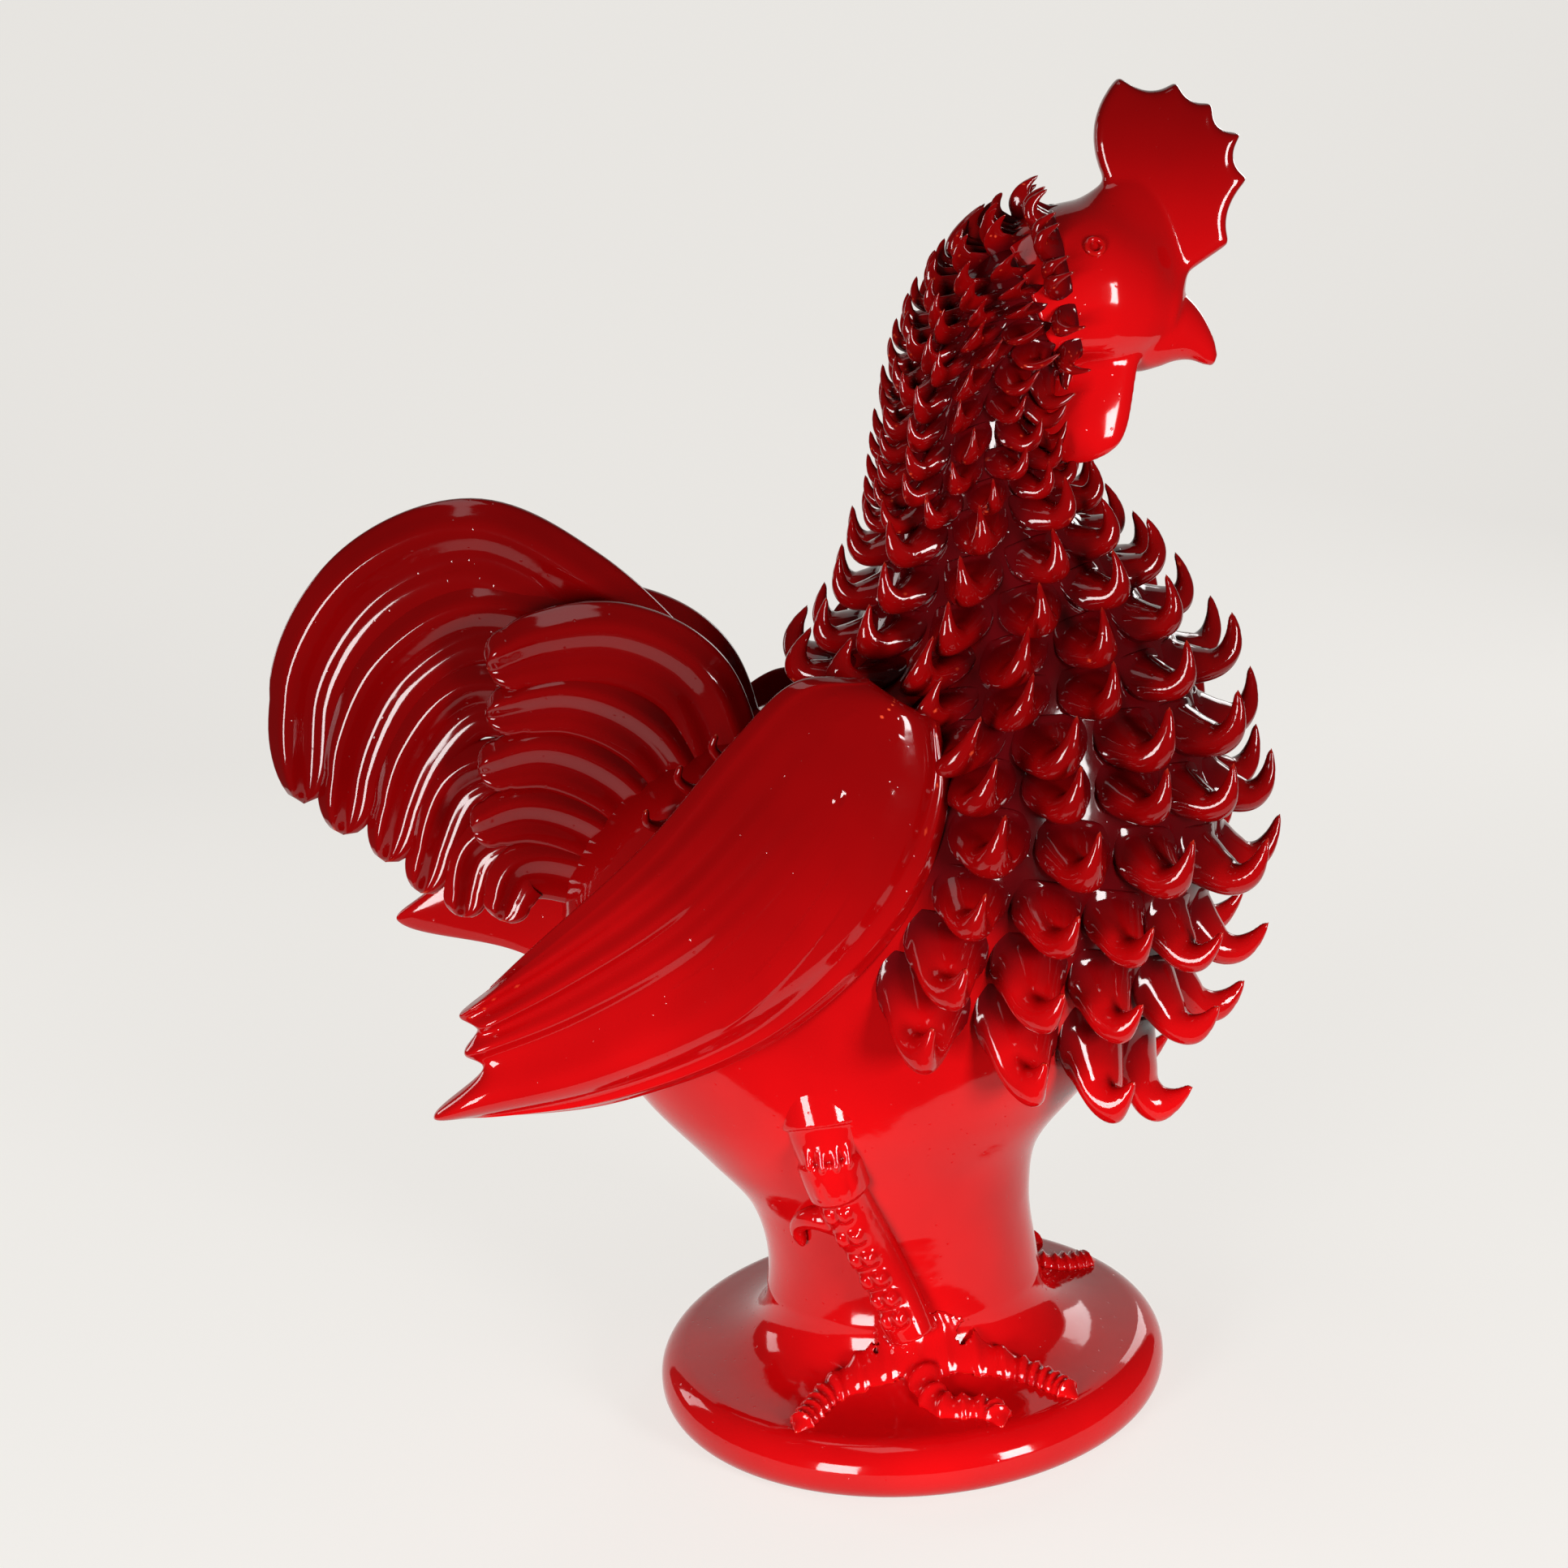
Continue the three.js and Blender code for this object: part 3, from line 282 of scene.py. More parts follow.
# %% Slices of the skin
STATIONS = [
    ([-49, 0], [48, 0], 45), ([-42.5, 10], [41.5, 10], 39.5), ([-40, 25], [39, 25], 37),
    ([-44, 43], [38.5, 40], 37.5), ([-57, 60], [42, 56], 41), ([-72, 78], [56, 72], 46),
    ([-84, 99], [76, 89], 50), ([-90, 123], [87, 113], 53), ([-87, 146], [97, 138], 54),
    ([-70, 168], [98, 161], 51), ([-48, 180], [93, 184], 46), ([-24, 189], [86, 203], 41),
    ([-4, 203], [79, 215], 36), ([8, 225], [69, 228], 32), ([14, 244], [59, 241], 28.5),
    ([18, 265], [54, 253], 26), ([24, 287], [53.5, 263], 25), ([37, 306], [57, 270], 24.5),
    ([57, 318], [64, 273.5], 23), ([74, 319], [74, 274], 21), ([86, 311], [82, 276], 16),
    ([93, 299], [88, 279], 10),
]
LAST = len(STATIONS) - 1
back_line = Line([s[0] for s in STATIONS])
front_line = Line([s[1] for s in STATIONS])
width_line = Line([[s[2], i] for i, s in enumerate(STATIONS)])
print("slices of the skin", len(STATIONS))

# %% Points of the skin


def skin_slices(station):
    """Middle, direction, half length and half width of the slices at some stations."""
    t = np.clip(np.atleast_1d(np.asarray(station, float)) / LAST, 0, 1)
    back, front = back_line.at(t), front_line.at(t)
    along = front - back
    length = np.linalg.norm(along, axis=1) / 2
    return (back + front) / 2, unit(along), length, width_line.at(t)[:, 0]


def skin_point(station, angle):
    """Points of the skin: angle 0 is the breast line, 180 degrees is the back line."""
    station, angle = np.broadcast_arrays(*(np.atleast_1d(np.asarray(v, float)) for v in (station, angle)))
    centre, along, length, half = skin_slices(station)
    out = centre + along * (np.cos(angle) * length)[:, None]
    out[:, 1] += np.sin(angle) * half
    return out


def skin_frame(station, angle):
    """Where a point of the skin is, and its directions out, sideways and down."""
    step = 0.02
    at = skin_point(station, angle)
    turned, higher = np.add(angle, step), np.add(station, step)
    around = unit(skin_point(station, turned) - skin_point(station, np.subtract(angle, step)))
    up = unit(skin_point(higher, angle) - skin_point(np.subtract(station, step), angle))
    out = unit(np.cross(around, up))
    return at, out, unit(np.cross(up, out)), -up


def skin_rings(stations, turn):
    return np.array([skin_point(np.full(len(turn), s), turn) for s in stations])


crown = skin_point(LAST - 2, math.pi)[0]
print("the crown of the head is %.0f mm over the base" % crown[2])

# %% [markdown]
# The round base and the skin in one
# The base is a hollow drum with a rounded shoulder and a bevel at its foot, turned on the wheel
# like a bowl. The potter ran a wet finger round the foot of the stem, so one smooth hollow
# curve leads from the base into the stem. So base, stem, body and neck are one loft: first the
# rings of the base's profile, then a Bezier curve for the hollow, then slices of the skin.

# %% Rings of the base
SIDES, FOOT_STEPS, SHOULDER_STEPS, CROWN_STEPS, FILLET_STEPS = 144, 8, 14, 8, 26
FOOT_RADIUS, FOOT_RISE = BASE_RADIUS - BASE_UNDERCUT - 1, BASE_UNDERCUT + 2
SHOULDER_RADIUS = BASE_RADIUS - BASE_ROUND
FILLET_RADIUS, FILLET_EDGE, FILLET_PULL = 63, 2.7, 1.0
HEAD_START, STEM_START, NECK_TOP, STEM_STEPS = 17.5, 1.35, 18.1, 260
profile = [[FOOT_RADIUS, -BASE_HEIGHT]]
for a in np.radians(np.linspace(-90, 0, FOOT_STEPS)[1:]):
    profile.append([FOOT_RADIUS + (BASE_UNDERCUT + 1) * math.cos(a),
                    FOOT_RISE * (1 + math.sin(a)) - BASE_HEIGHT])
for a in np.radians(np.linspace(0, 90, SHOULDER_STEPS)[1:]):
    profile.append([SHOULDER_RADIUS + BASE_ROUND * math.cos(a),
                    BASE_ROUND * (math.sin(a) - 1) - BASE_CROWN])
turn = np.linspace(0, 2 * math.pi, SIDES, endpoint=False)
stations = np.linspace(STEM_START, NECK_TOP, STEM_STEPS)
stem = skin_rings(stations, turn)
facing = unit(stem[0] * [1, 1, 0])
rings = [facing * radius + [0, 0, height] for radius, height in profile]
rim, shoulder = rings[-1], facing * FILLET_RADIUS - [0, 0, FILLET_EDGE]
rings += [mix(rim, shoulder, share) for share in np.linspace(0, 1, CROWN_STEPS)[1:-1]]
pull = stem[0] * [1, 1, 0] - [0, 0, FILLET_PULL]
for w in np.linspace(0, 1, FILLET_STEPS)[:-1]:
    rings.append((1 - w) ** 2 * shoulder + 2 * w * (1 - w) * pull + w ** 2 * stem[0])
print("rings of base and fillet", len(rings))

# %% [markdown]
# Under the scales the skin lies in their shade, and painted shade makes it nearly black. Each
# point of the skin gets a share from 0 to 1 that says how much painted shade it takes. At its upper
# end the skin is drawn in a little, so that it ends hidden inside the head.

# %% The skin and its painted shade
SCALES_FROM, SCALES_CLIMB, SCALES_SIDE, NECK_SCALES_FROM = 6.0, 2.2, math.radians(104), 11.9
TUCK_START, TUCK_RUN, TUCK_SHARE = 17.4, 0.4, 0.16
tuck = np.clip((stations - TUCK_START) / TUCK_RUN, 0, 1) * TUCK_SHARE
stem = mix(stem, stem.mean(axis=1, keepdims=True), tuck[:, None, None])
from_breast = np.abs((turn + math.pi) % (2 * math.pi) - math.pi)
lowest_scales = SCALES_FROM + SCALES_CLIMB * (1 - np.cos(from_breast))
above_bib = np.clip((stations[:, None] - lowest_scales) * 2.5, 0, 1)
in_front = np.clip((SCALES_SIDE - from_breast) * 8, 0, 1)
on_neck = np.clip((stations[:, None] - NECK_SCALES_FROM) * 2, 0, 1)
# Painted shade: the skin under the scales and on the neck takes the darkest red
under = np.maximum(above_bib * in_front, on_neck)
painted_shade = np.concatenate([np.zeros(len(rings) * SIDES), under.ravel(), [0]])
skin = Clay().loft(np.concatenate([rings, stem]), end=False).object("glazed_body_and_base", painted_shade=painted_shade)
print("skin", len(skin.data.vertices), "points")

# %% [markdown]
# Head, comb, beak and wattles
# These are separate pieces of clay that the potter smoothed into each other. Each is made as
# its own form first, then all of them get one skin with a voxel remesh, and a little
# smoothing rounds the joints as a thick glaze does.

# %% The form of the head
HEAD_SIDES, HEAD_STEPS = 64, 60
CREST_HEIGHT, CREST_SPREAD, CREST_START, CREST_RUN = 15, 23, 18.5, 1.4
FACE_BULGE, FACE_FORWARD = 3.5, np.array([0.96, 0, -0.28])
head = Clay()
turn = np.linspace(0, 2 * math.pi, HEAD_SIDES, endpoint=False)
stations = np.linspace(HEAD_START, LAST, HEAD_STEPS)
rings = skin_rings(stations, turn)
# The crest leads the back of the head up into the comb
on_top = np.exp(-((np.degrees(turn) - 180) / CREST_SPREAD) ** 2)
held = np.clip((stations - CREST_START) / CREST_RUN, 0, 1)
raised = CREST_HEIGHT * (3 * held ** 2 - 2 * held ** 3)
upwards = unit(rings[:, HEAD_SIDES // 2] - rings.mean(axis=1))
rings = rings + upwards[:, None] * on_top[None, :, None] * raised[:, None, None]
face, middle = rings[-1], rings[-1].mean(axis=0)
dome = [middle + (face - middle) * math.cos(a) + FACE_FORWARD * FACE_BULGE * math.sin(a)
        for a in np.radians(np.linspace(10, 80, 6))]
head.loft(np.concatenate([rings, dome]))
print("head rings", len(rings) + len(dome))

# %% [markdown]
# The comb is a slab with a round lobe behind and five teeth in front. Each stretch of its
# outline is bent like a bow, so a valley between two teeth is round. The slab is lofted
# through its thickness, and the outer layers are smaller, which rounds its edge.

# %% The comb
COMB_LOBE = {"notch": [77, 320], "back": [67, 338], "top": [80, 350.5], "dip": [88, 343]}
COMB_POINTS = [[95, 348], [104.5, 342], [112, 333.5], [113, 321.5], [107.5, 305]]
COMB_VALLEYS = [[97.5, 340.5], [102.5, 333.5], [106, 326.5], [104.5, 313.5]]
COMB_ROOT, COMB_MIDDLE = [[92, 296], [76, 300]], [93, 318]
COMB_LAYERS = [(1.4, 0.1), (2.8, 0.5), (3.8, 1.5), (4.1, 3.2)]


def bow(start, pull, end, steps=10):
    t = np.linspace(0, 1, steps)[1:, None]
    start, pull, end = (np.array(p, float) for p in (start, pull, end))
    return ((1 - t) ** 2 * start + 2 * t * (1 - t) * pull + t ** 2 * end).tolist()


outline = [COMB_LOBE["notch"]] + bow(COMB_LOBE["notch"], COMB_LOBE["back"], COMB_LOBE["top"])
outline += bow(COMB_LOBE["top"], COMB_LOBE["dip"], COMB_POINTS[0])
for i, valley in enumerate(COMB_VALLEYS):
    outline += bow(COMB_POINTS[i], valley, COMB_POINTS[i + 1])
outline = np.array(outline + COMB_ROOT)
comb_rings = []
for depth, inset in [(-d, i) for d, i in COMB_LAYERS[::-1]] + [(0, 0)] + COMB_LAYERS:
    shrunk = outline + unit(np.subtract(COMB_MIDDLE, outline)) * inset
    comb_rings.append(np.column_stack([shrunk[:, 0], np.full(len(shrunk), depth), shrunk[:, 1]]))
head.loft(comb_rings)
print("comb outline", len(outline), "points")

# %% [markdown]
# The beak is a rod that bends down at its end, as thick as the head at its root and drawn to a
# point. The wattles are two drops of clay under it. All of them sink into the head, so that
# melting joins them to it.

# %% The beak
BEAK_LINE = Line([[74, 285], [84, 285], [92, 283], [98, 279], [102.5, 273]])
BEAK_SHARES = [0, 0.25, 0.5, 0.75, 1]
BEAK_TALL, BEAK_WIDE = [12, 12.2, 9.8, 5.2, 1.4], [12, 9.8, 7.2, 4.2, 1.4]


def beak_radii(t):
    return [np.interp(t, BEAK_SHARES, half) * round_end(t, 0.92) for half in (BEAK_TALL, BEAK_WIDE)]


head.loft(rod(BEAK_LINE, 40, 32, beak_radii))
print("beak %.0f mm" % BEAK_LINE.length())

# %% The wattles
WATTLE_TOP, WATTLE_LENGTH, WATTLE_WIDTH, WATTLE_LEAN = [74, 283], 35, 22, math.radians(22)
WATTLE_APART, WATTLE_SPREAD = 8, 5


def wattle(side, steps=30):
    """A drop of clay that hangs beside the throat and leans back."""
    t = np.linspace(0, 1, steps)
    swell = (0.72 + 0.28 * np.sin(math.pi * t ** 1.6)) * round_end(t, 0.66) * WATTLE_WIDTH / 2
    rings = []
    for half, k in zip(swell, t):
        x, z = 1.15 * half * np.cos(turn) - 2 * k, np.full(HEAD_SIDES, -k * WATTLE_LENGTH)
        y = 0.36 * half * np.sin(turn) + side * (WATTLE_APART + WATTLE_SPREAD * math.sin(1.5 * k))
        rings.append(np.column_stack([
            x * math.cos(WATTLE_LEAN) + z * math.sin(WATTLE_LEAN) + WATTLE_TOP[0], y,
            z * math.cos(WATTLE_LEAN) - x * math.sin(WATTLE_LEAN) + WATTLE_TOP[1]]))
    return rings


for side in SIDE_NAMES:
    head.loft(wattle(side))
print("wattles", len(SIDE_NAMES))

# %% [markdown]
# The melted head is taken as ready points and faces into a new piece of clay. The eyes come
# last, because melting would wipe out anything as fine as their thin coils.

# %% Melt the head and lay on the eyes
HEAD_VOXEL, HEAD_ROUNDS = 0.6, 36
EYE_STATION, EYE_ANGLE, EYE_RADIUS, EYE_COIL, EYE_LIFT = 18.7, math.radians(119), 2.1, 0.75, 0.3
smooth_head = mesh_of(melted(head.object("smooth_head", lift=0), HEAD_VOXEL, HEAD_ROUNDS))
head = Clay()
head.copy(*smooth_head)
for side in SIDE_NAMES:
    at, out, sideways, down = (v[0] for v in skin_frame(EYE_STATION, side * EYE_ANGLE))
    coil = np.linspace(0, 2 * math.pi, 10, endpoint=False)
    ring = []
    for a in np.linspace(0, 2 * math.pi, 29):
        away = sideways * math.cos(a) + down * math.sin(a)
        ring.append([at + away * (EYE_RADIUS + EYE_COIL * math.cos(b))
                     + out * (EYE_LIFT + EYE_COIL * math.sin(b)) for b in coil])
    head.loft(ring, start=False, end=False)
head = head.object("head_comb_and_wattles")
print("head", len(head.data.polygons), "faces")

# %% [markdown]
# The wings
# Each wing is one long leaf of clay that hugs the shoulder and stands off behind. Rounded
# ridges run from the shoulder into the feather tips, and the rim is rolled. The leaf is a
# fine grid of points between its upper and lower edge, and the relief is added to its depth.
# On the grid, t runs from the shoulder to the tip and u from the upper to the lower edge.

# %% The leaf of a wing
WING_UPPER = Line([[2, 205], [-16, 206], [-33, 193], [-58, 168], [-84, 148], [-111, 131]])
WING_LOWER = Line([[20, 192], [21, 171], [8, 141], [-26, 112], [-72, 97.5], [-113, 96]])
# How far the feather tips reach past the leaf's end, at places from u = 0 to u = 1
TIP_PLACES = [0, 0.12, 0.27, 0.41, 0.58, 0.84, 1]
TIP_REACHES = [-9, 0, -5, -1, -6, 9, -5]
FAR_PLACES, FAR_REACHES = [0, 0.3, 1], [-12, 6, -26]
WING_THICKNESS, WING_BULGE, SPREAD_FRONT, SPREAD_TIP = 8, 7, 47, 63
FAR_WING = {"raise": 8, "reach": 10, "back": 15, "drop": 11, "slant": 27}
WING_PIVOT = np.array([-52, 0, 150.0])
# Each ridge's place in u at the tip, its width in u and its height
WING_RIDGES = [(0.09, 0.055, 3.6), (0.24, 0.055, 4.2), (0.40, 0.06, 3.6), (0.76, 0.15, 6.0)]
# Where each thin line begins and ends in u, and where it starts and stops in t
RAISED_LINES = [(0.62, 0.70, 0.38, 0.62), (0.72, 0.80, 0.42, 0.66), (0.50, 0.55, 0.35, 0.7)]
# The middle of each covert feather, in t and u
COVERTS = [(0.16, 0.22), (0.24, 0.36), (0.13, 0.52), (0.27, 0.6)]


def hill(away, wide):
    """1 on the crest and falling smoothly to nothing on both sides."""
    return np.exp(-(away / wide) ** 2)


def wing_relief(t, u):
    """Ridges that fan from the shoulder, a rolled rim, coverts and thin raised lines, in mm."""
    grown = np.clip((t - 0.22) / 0.4, 0, 1) ** 1.5
    relief = 0.0
    for middle, wide, tall in WING_RIDGES:
        relief = relief + tall * hill(u - mix(0.5 + (middle - 0.5) * 0.8, middle, t), wide) * grown
    for begin, end, start, stop in RAISED_LINES:
        lane = mix(begin, end, (t - start) / (stop - start))
        held = np.clip((t - start) * 25, 0, 1) * np.clip((stop - t) * 25, 0, 1)
        relief = relief + 0.45 * hill(u - lane, 0.009) * held
    for at_t, at_u in COVERTS:
        away = np.sqrt(((t - at_t) / 0.07) ** 2 + ((u - at_u) / 0.075) ** 2)
        relief = relief + 0.12 * hill(away - 1, 0.28) * (t > at_t - 0.02)
    rim = 1.3 * hill(u - 0.955, 0.028) - 0.7 * hill(u - 0.885, 0.035) + 0.9 * hill(u - 0.035, 0.03)
    lump = np.exp(-(np.maximum(np.abs(t - 0.33) / 0.014, np.abs(u - 0.47) / 0.017)) ** 6) * 0.8
    return relief + rim + lump


print("tallest ridge of a wing", max(tall for _, _, tall in WING_RIDGES), "mm")

# %% Both faces of the wing


def wing(side, steps=230, across=170):
    """Rings round the leaf: out over its outer face, from upper to lower edge, and back inside."""
    t = 0.5 - 0.5 * np.cos(math.pi * np.linspace(0, 1, steps))
    u = 0.5 - 0.5 * np.cos(np.linspace(0, math.pi, across))
    top, low = WING_UPPER.at(t), WING_LOWER.at(t)
    along = unit(WING_UPPER.along(t) + WING_LOWER.along(t))
    far = side == LEFT
    longer, slant = (FAR_WING["reach"], FAR_WING["slant"]) if far else (0, 0)
    lobes = eased(u, FAR_PLACES, FAR_REACHES) if far else eased(u, TIP_PLACES, TIP_REACHES)
    rings = []
    for k in range(steps):
        bulge = np.sin(math.pi * np.minimum(1, 0.12 + u * 0.8)) * WING_BULGE * (1 - 0.55 * t[k])
        closing = math.sqrt(max(0.0, 1 - (2 * abs(t[k] - 0.5)) ** 24))
        plate = WING_THICKNESS / 2 * (1 - 0.15 * t[k]) * np.sin(math.pi * u) ** 0.42 * closing
        spread = mix(SPREAD_FRONT, SPREAD_TIP, t[k] ** 1.2)
        reach = lobes * np.clip((t[k] - 0.72) / 0.28, 0, 1) ** 2 + (longer + slant * (0.5 - u)) * t[k] ** 2
        leaf = top[k] + (low[k] - top[k]) * u[:, None] + along[k] * reach[:, None]
        relief = wing_relief(t[k], u) * np.clip(np.sin(math.pi * u) * 6, 0, 1) * closing
        outside, inside = leaf.copy(), leaf.copy()
        outside[:, 1] = side * (spread + bulge + plate + relief * 0.9)
        inside[:, 1] = side * (spread + bulge - plate)
        rings.append(np.vstack([outside, inside[-2:0:-1]]))
    return raised_and_moved(np.array(rings)) if far else np.array(rings)


def raised_and_moved(rings):
    """The far wing's tip is raised a little, and the whole wing sits lower and farther back."""
    a = math.radians(FAR_WING["raise"])
    x, y, z = np.moveaxis(rings - WING_PIVOT, -1, 0)
    turned = np.stack([x * math.cos(a) + z * math.sin(a), y, z * math.cos(a) - x * math.sin(a)], axis=-1)
    return turned + WING_PIVOT - [FAR_WING["back"], 0, FAR_WING["drop"]]


wings = {}
for side, name in SIDE_NAMES.items():
    wings[side] = Clay().loft(wing(side), start=False, end=False).object("wing_of_" + name)
    print("wing", name, len(wings[side].data.polygons), "faces")

# %% [markdown]
# The tail
# Fifteen sickle feathers stand in three layers: a middle fan of five and five on each side.
# Each feather is a rod with a flat oval section, with one ridge and a channel beside it that
# catch the light as long bright lines. The end is rounded off like a quarter circle. A
# feather's line is given in side view, and the number beside it is its share of full width.

# %% The sickles of the tail
MIDDLE_SICKLES = [
    ([[-36, 170], [-55, 201], [-78, 225.5], [-103, 240], [-131.5, 232.5], [-152.5, 208.5], [-160, 171]], 1),
    ([[-46, 168], [-72, 205], [-104, 219], [-128, 208], [-142, 188], [-150, 161]], 0.67),
    ([[-58, 160], [-84, 189], [-108, 197], [-125, 183], [-139, 152]], 0.62),
    ([[-66, 152], [-94, 175], [-114, 173], [-130, 142]], 0.55),
    ([[-74, 143], [-98, 157], [-112, 153], [-119, 134]], 0.48),
]
SIDE_SICKLES = [
    ([[-36, 168], [-46, 200], [-64, 212], [-84, 213], [-101, 209]], 0.67),
    ([[-46, 160], [-60, 186], [-79, 197], [-103, 196]], 0.55),
    ([[-56, 152], [-71, 173], [-88, 182], [-107, 180]], 0.55),
    ([[-64, 144], [-80, 160], [-95, 166], [-111, 163]], 0.51),
    ([[-68, 134], [-85, 147], [-98, 149], [-106, 136]], 0.51),
]
LAYERS = {"middle": (0, MIDDLE_SICKLES), "right": (RIGHT, SIDE_SICKLES), "left": (LEFT, SIDE_SICKLES)}
print("tail layers", list(LAYERS))

# %% One feather
FEATHER_HALF, THICK_FIRST, THICK_STEP = 12.5, 4.6, 0.45
ROOT_APART, TIP_SPREAD, LAYER_STEP = 11, 6.3, 1.1


def feather_section(a):
    """A flat oval with a rolled ridge in its outer half and a shallow channel beside it."""
    x, y = np.cos(a), np.sin(a)
    flat = np.sign(y) * np.abs(y) ** 0.8
    ridge = 0.65 * hill(x - 0.50, 0.30) - 0.45 * hill(x + 0.22, 0.26)
    return x, flat * (0.85 + ridge)


def feather(line, width, shift, i):
    """The rings of the feather number i of a layer. shift says to which side it leans."""
    away = ROOT_APART + np.linspace(0, 1, len(line)) * TIP_SPREAD - i * LAYER_STEP
    wide = FEATHER_HALF * width * (1.10 if width == 1 else 1.42)
    thick = THICK_FIRST - THICK_STEP * i

    def radii(t):
        taper = mix(0.75, 1, math.sin(math.pi * min(1, t * 1.15)) ** 0.5)
        return wide * taper * round_end(t, 0.9), thick * (1 - 0.15 * t) * round_end(t, 0.93)

    return rod(Line([[x, shift * a, z] for (x, z), a in zip(line, away)]), 90, 56, radii, feather_section)


tail_pieces = {}
for layer, (shift, feathers) in LAYERS.items():
    clay = Clay()
    for i, (line, width) in enumerate(feathers):
        clay.loft(feather(line, width, shift, i))
    tail_pieces[layer] = clay.object("tail_" + layer)
print("tail feathers", sum(len(feathers) for _, feathers in LAYERS.values()))

# %% [markdown]
# Legs and feet
# The legs stand out from the stem in relief: two stepped cuffs with flutes, a shank with square
# scutes, a spur behind, and three ringed toes with pointed claws on the base. All of a leg is
# melted under one skin, which softens the square scutes into pads of glaze. A leg's line is
# given in side view, and the skin of the stem tells how far out it lies.

# %% Where the legs stand
LEG_LINE = [[-19, 80], [-18, 68], [-14, 53], [-8, 38], [-3, 25], [1, 13]]
SPUR_LINE = [[-17, 49], [-24, 50], [-29, 45], [-28, 38]]
LEFT_FOOT_FORWARD, LEFT_TOE_TURN = 14, 19
REACH_STATIONS = np.arange(81) / 10


def skin_reach(x, z):
    """Half width of the stem at a point in side view."""
    centre, along, length, half = skin_slices(REACH_STATIONS)
    rise = np.column_stack([-along[:, 2], np.zeros(len(along)), along[:, 0]])
    gap = np.array([x, 0, z]) - centre
    best = int(np.argmin(np.abs((gap * rise).sum(1))))
    share = (gap[best] @ along[best]) / length[best]
    return half[best] * math.sqrt(max(0.0, 1 - share ** 2))


def base_top(radius):
    """Height of the base's top at a distance from its middle, out to its rim."""
    if radius <= SHOULDER_RADIUS:
        share = (radius - FILLET_RADIUS) / (SHOULDER_RADIUS - FILLET_RADIUS)
        return -mix(FILLET_EDGE, BASE_CROWN, max(0.0, share))
    beyond = min(1.0, (radius - SHOULDER_RADIUS) / BASE_ROUND)
    return -BASE_CROWN - BASE_ROUND + math.sqrt(1 - beyond ** 2) * BASE_ROUND


def footing(x, y):
    """Height of the base's top and of the hollow curve that leads into the stem."""
    radius = math.hypot(x, y)
    if radius >= FILLET_RADIUS:
        return base_top(radius)
    centre, _, length, half = (v[0] for v in skin_slices(STEM_START))
    stem_radius = radius / max(1e-6, math.hypot((x - centre[0]) / length, y / half))
    gone = math.sqrt(max(0.0, (radius - stem_radius) / (FILLET_RADIUS - stem_radius)))
    return -gone ** 2 * FILLET_EDGE - 2 * gone * (1 - gone) * FILLET_PULL + (1 - gone) ** 2 * centre[2]


print("stem half width at the spur: %.1f mm" % skin_reach(*SPUR_LINE[0]))

# %% Pads of clay


def pad(clay, at, right, up, out, half_w, half_h, half_d):
    """A small pillow of clay: a rounded box lofted along its own height."""
    turn = np.linspace(0, 2 * math.pi, 16, endpoint=False)
    x, y = (np.sign(v) * np.abs(v) ** 0.5 for v in (np.cos(turn), np.sin(turn)))
    rings = []
    for k in np.linspace(-1, 1, 9):
        s = math.sqrt(max(0.02, 1 - abs(k) ** 4))
        rings.append(at + up * (k * half_h) + np.outer(x * half_w * s, right) + np.outer(y * half_d * s, out))
    clay.loft(rings)


print("pads are ready")

# %% Sizes of a leg
# The thigh's points: how far behind the knee, how far above it, and how deep in the body
THIGH = [(4, 30, 25), (2, 14, 15.5)]
KNEE_SUNK, CALF_SUNK, LEG_PROUD, SPUR_PROUD = 9.5, 3, 0.5, 2
THIGH_RADIUS, SHANK_TOP, SHANK_FOOT = 13.2, 7.8, 6.6
# Each cuff's top and bottom below the knee, and its half widths there
CUFFS = [(0, 11, 12.2, 8.4), (11, 21, 9.6, 8.9)]
SCUTES, SCUTE_PITCH, SCUTE_START, SCUTE_TURN, BUMP_APART = 6, 7.2, 25, 0.45, 2.1
# Each band of flutes: its place below the knee, its half height and its distance from the middle
FLUTES, FLUTE_ANGLES = [(5.5, 4.6, 10.2), (16, 4.0, 9.0)], (-0.62, -0.2, 0.22, 0.62)


def spur_radii(t):
    return mix(4.4, 1.6, t) * round_end(t, 0.8), mix(4.2, 1.6, t) * round_end(t, 0.8)


print("scutes on a leg", SCUTES, "and flutes", len(FLUTES) * len(FLUTE_ANGLES))

# %% One leg


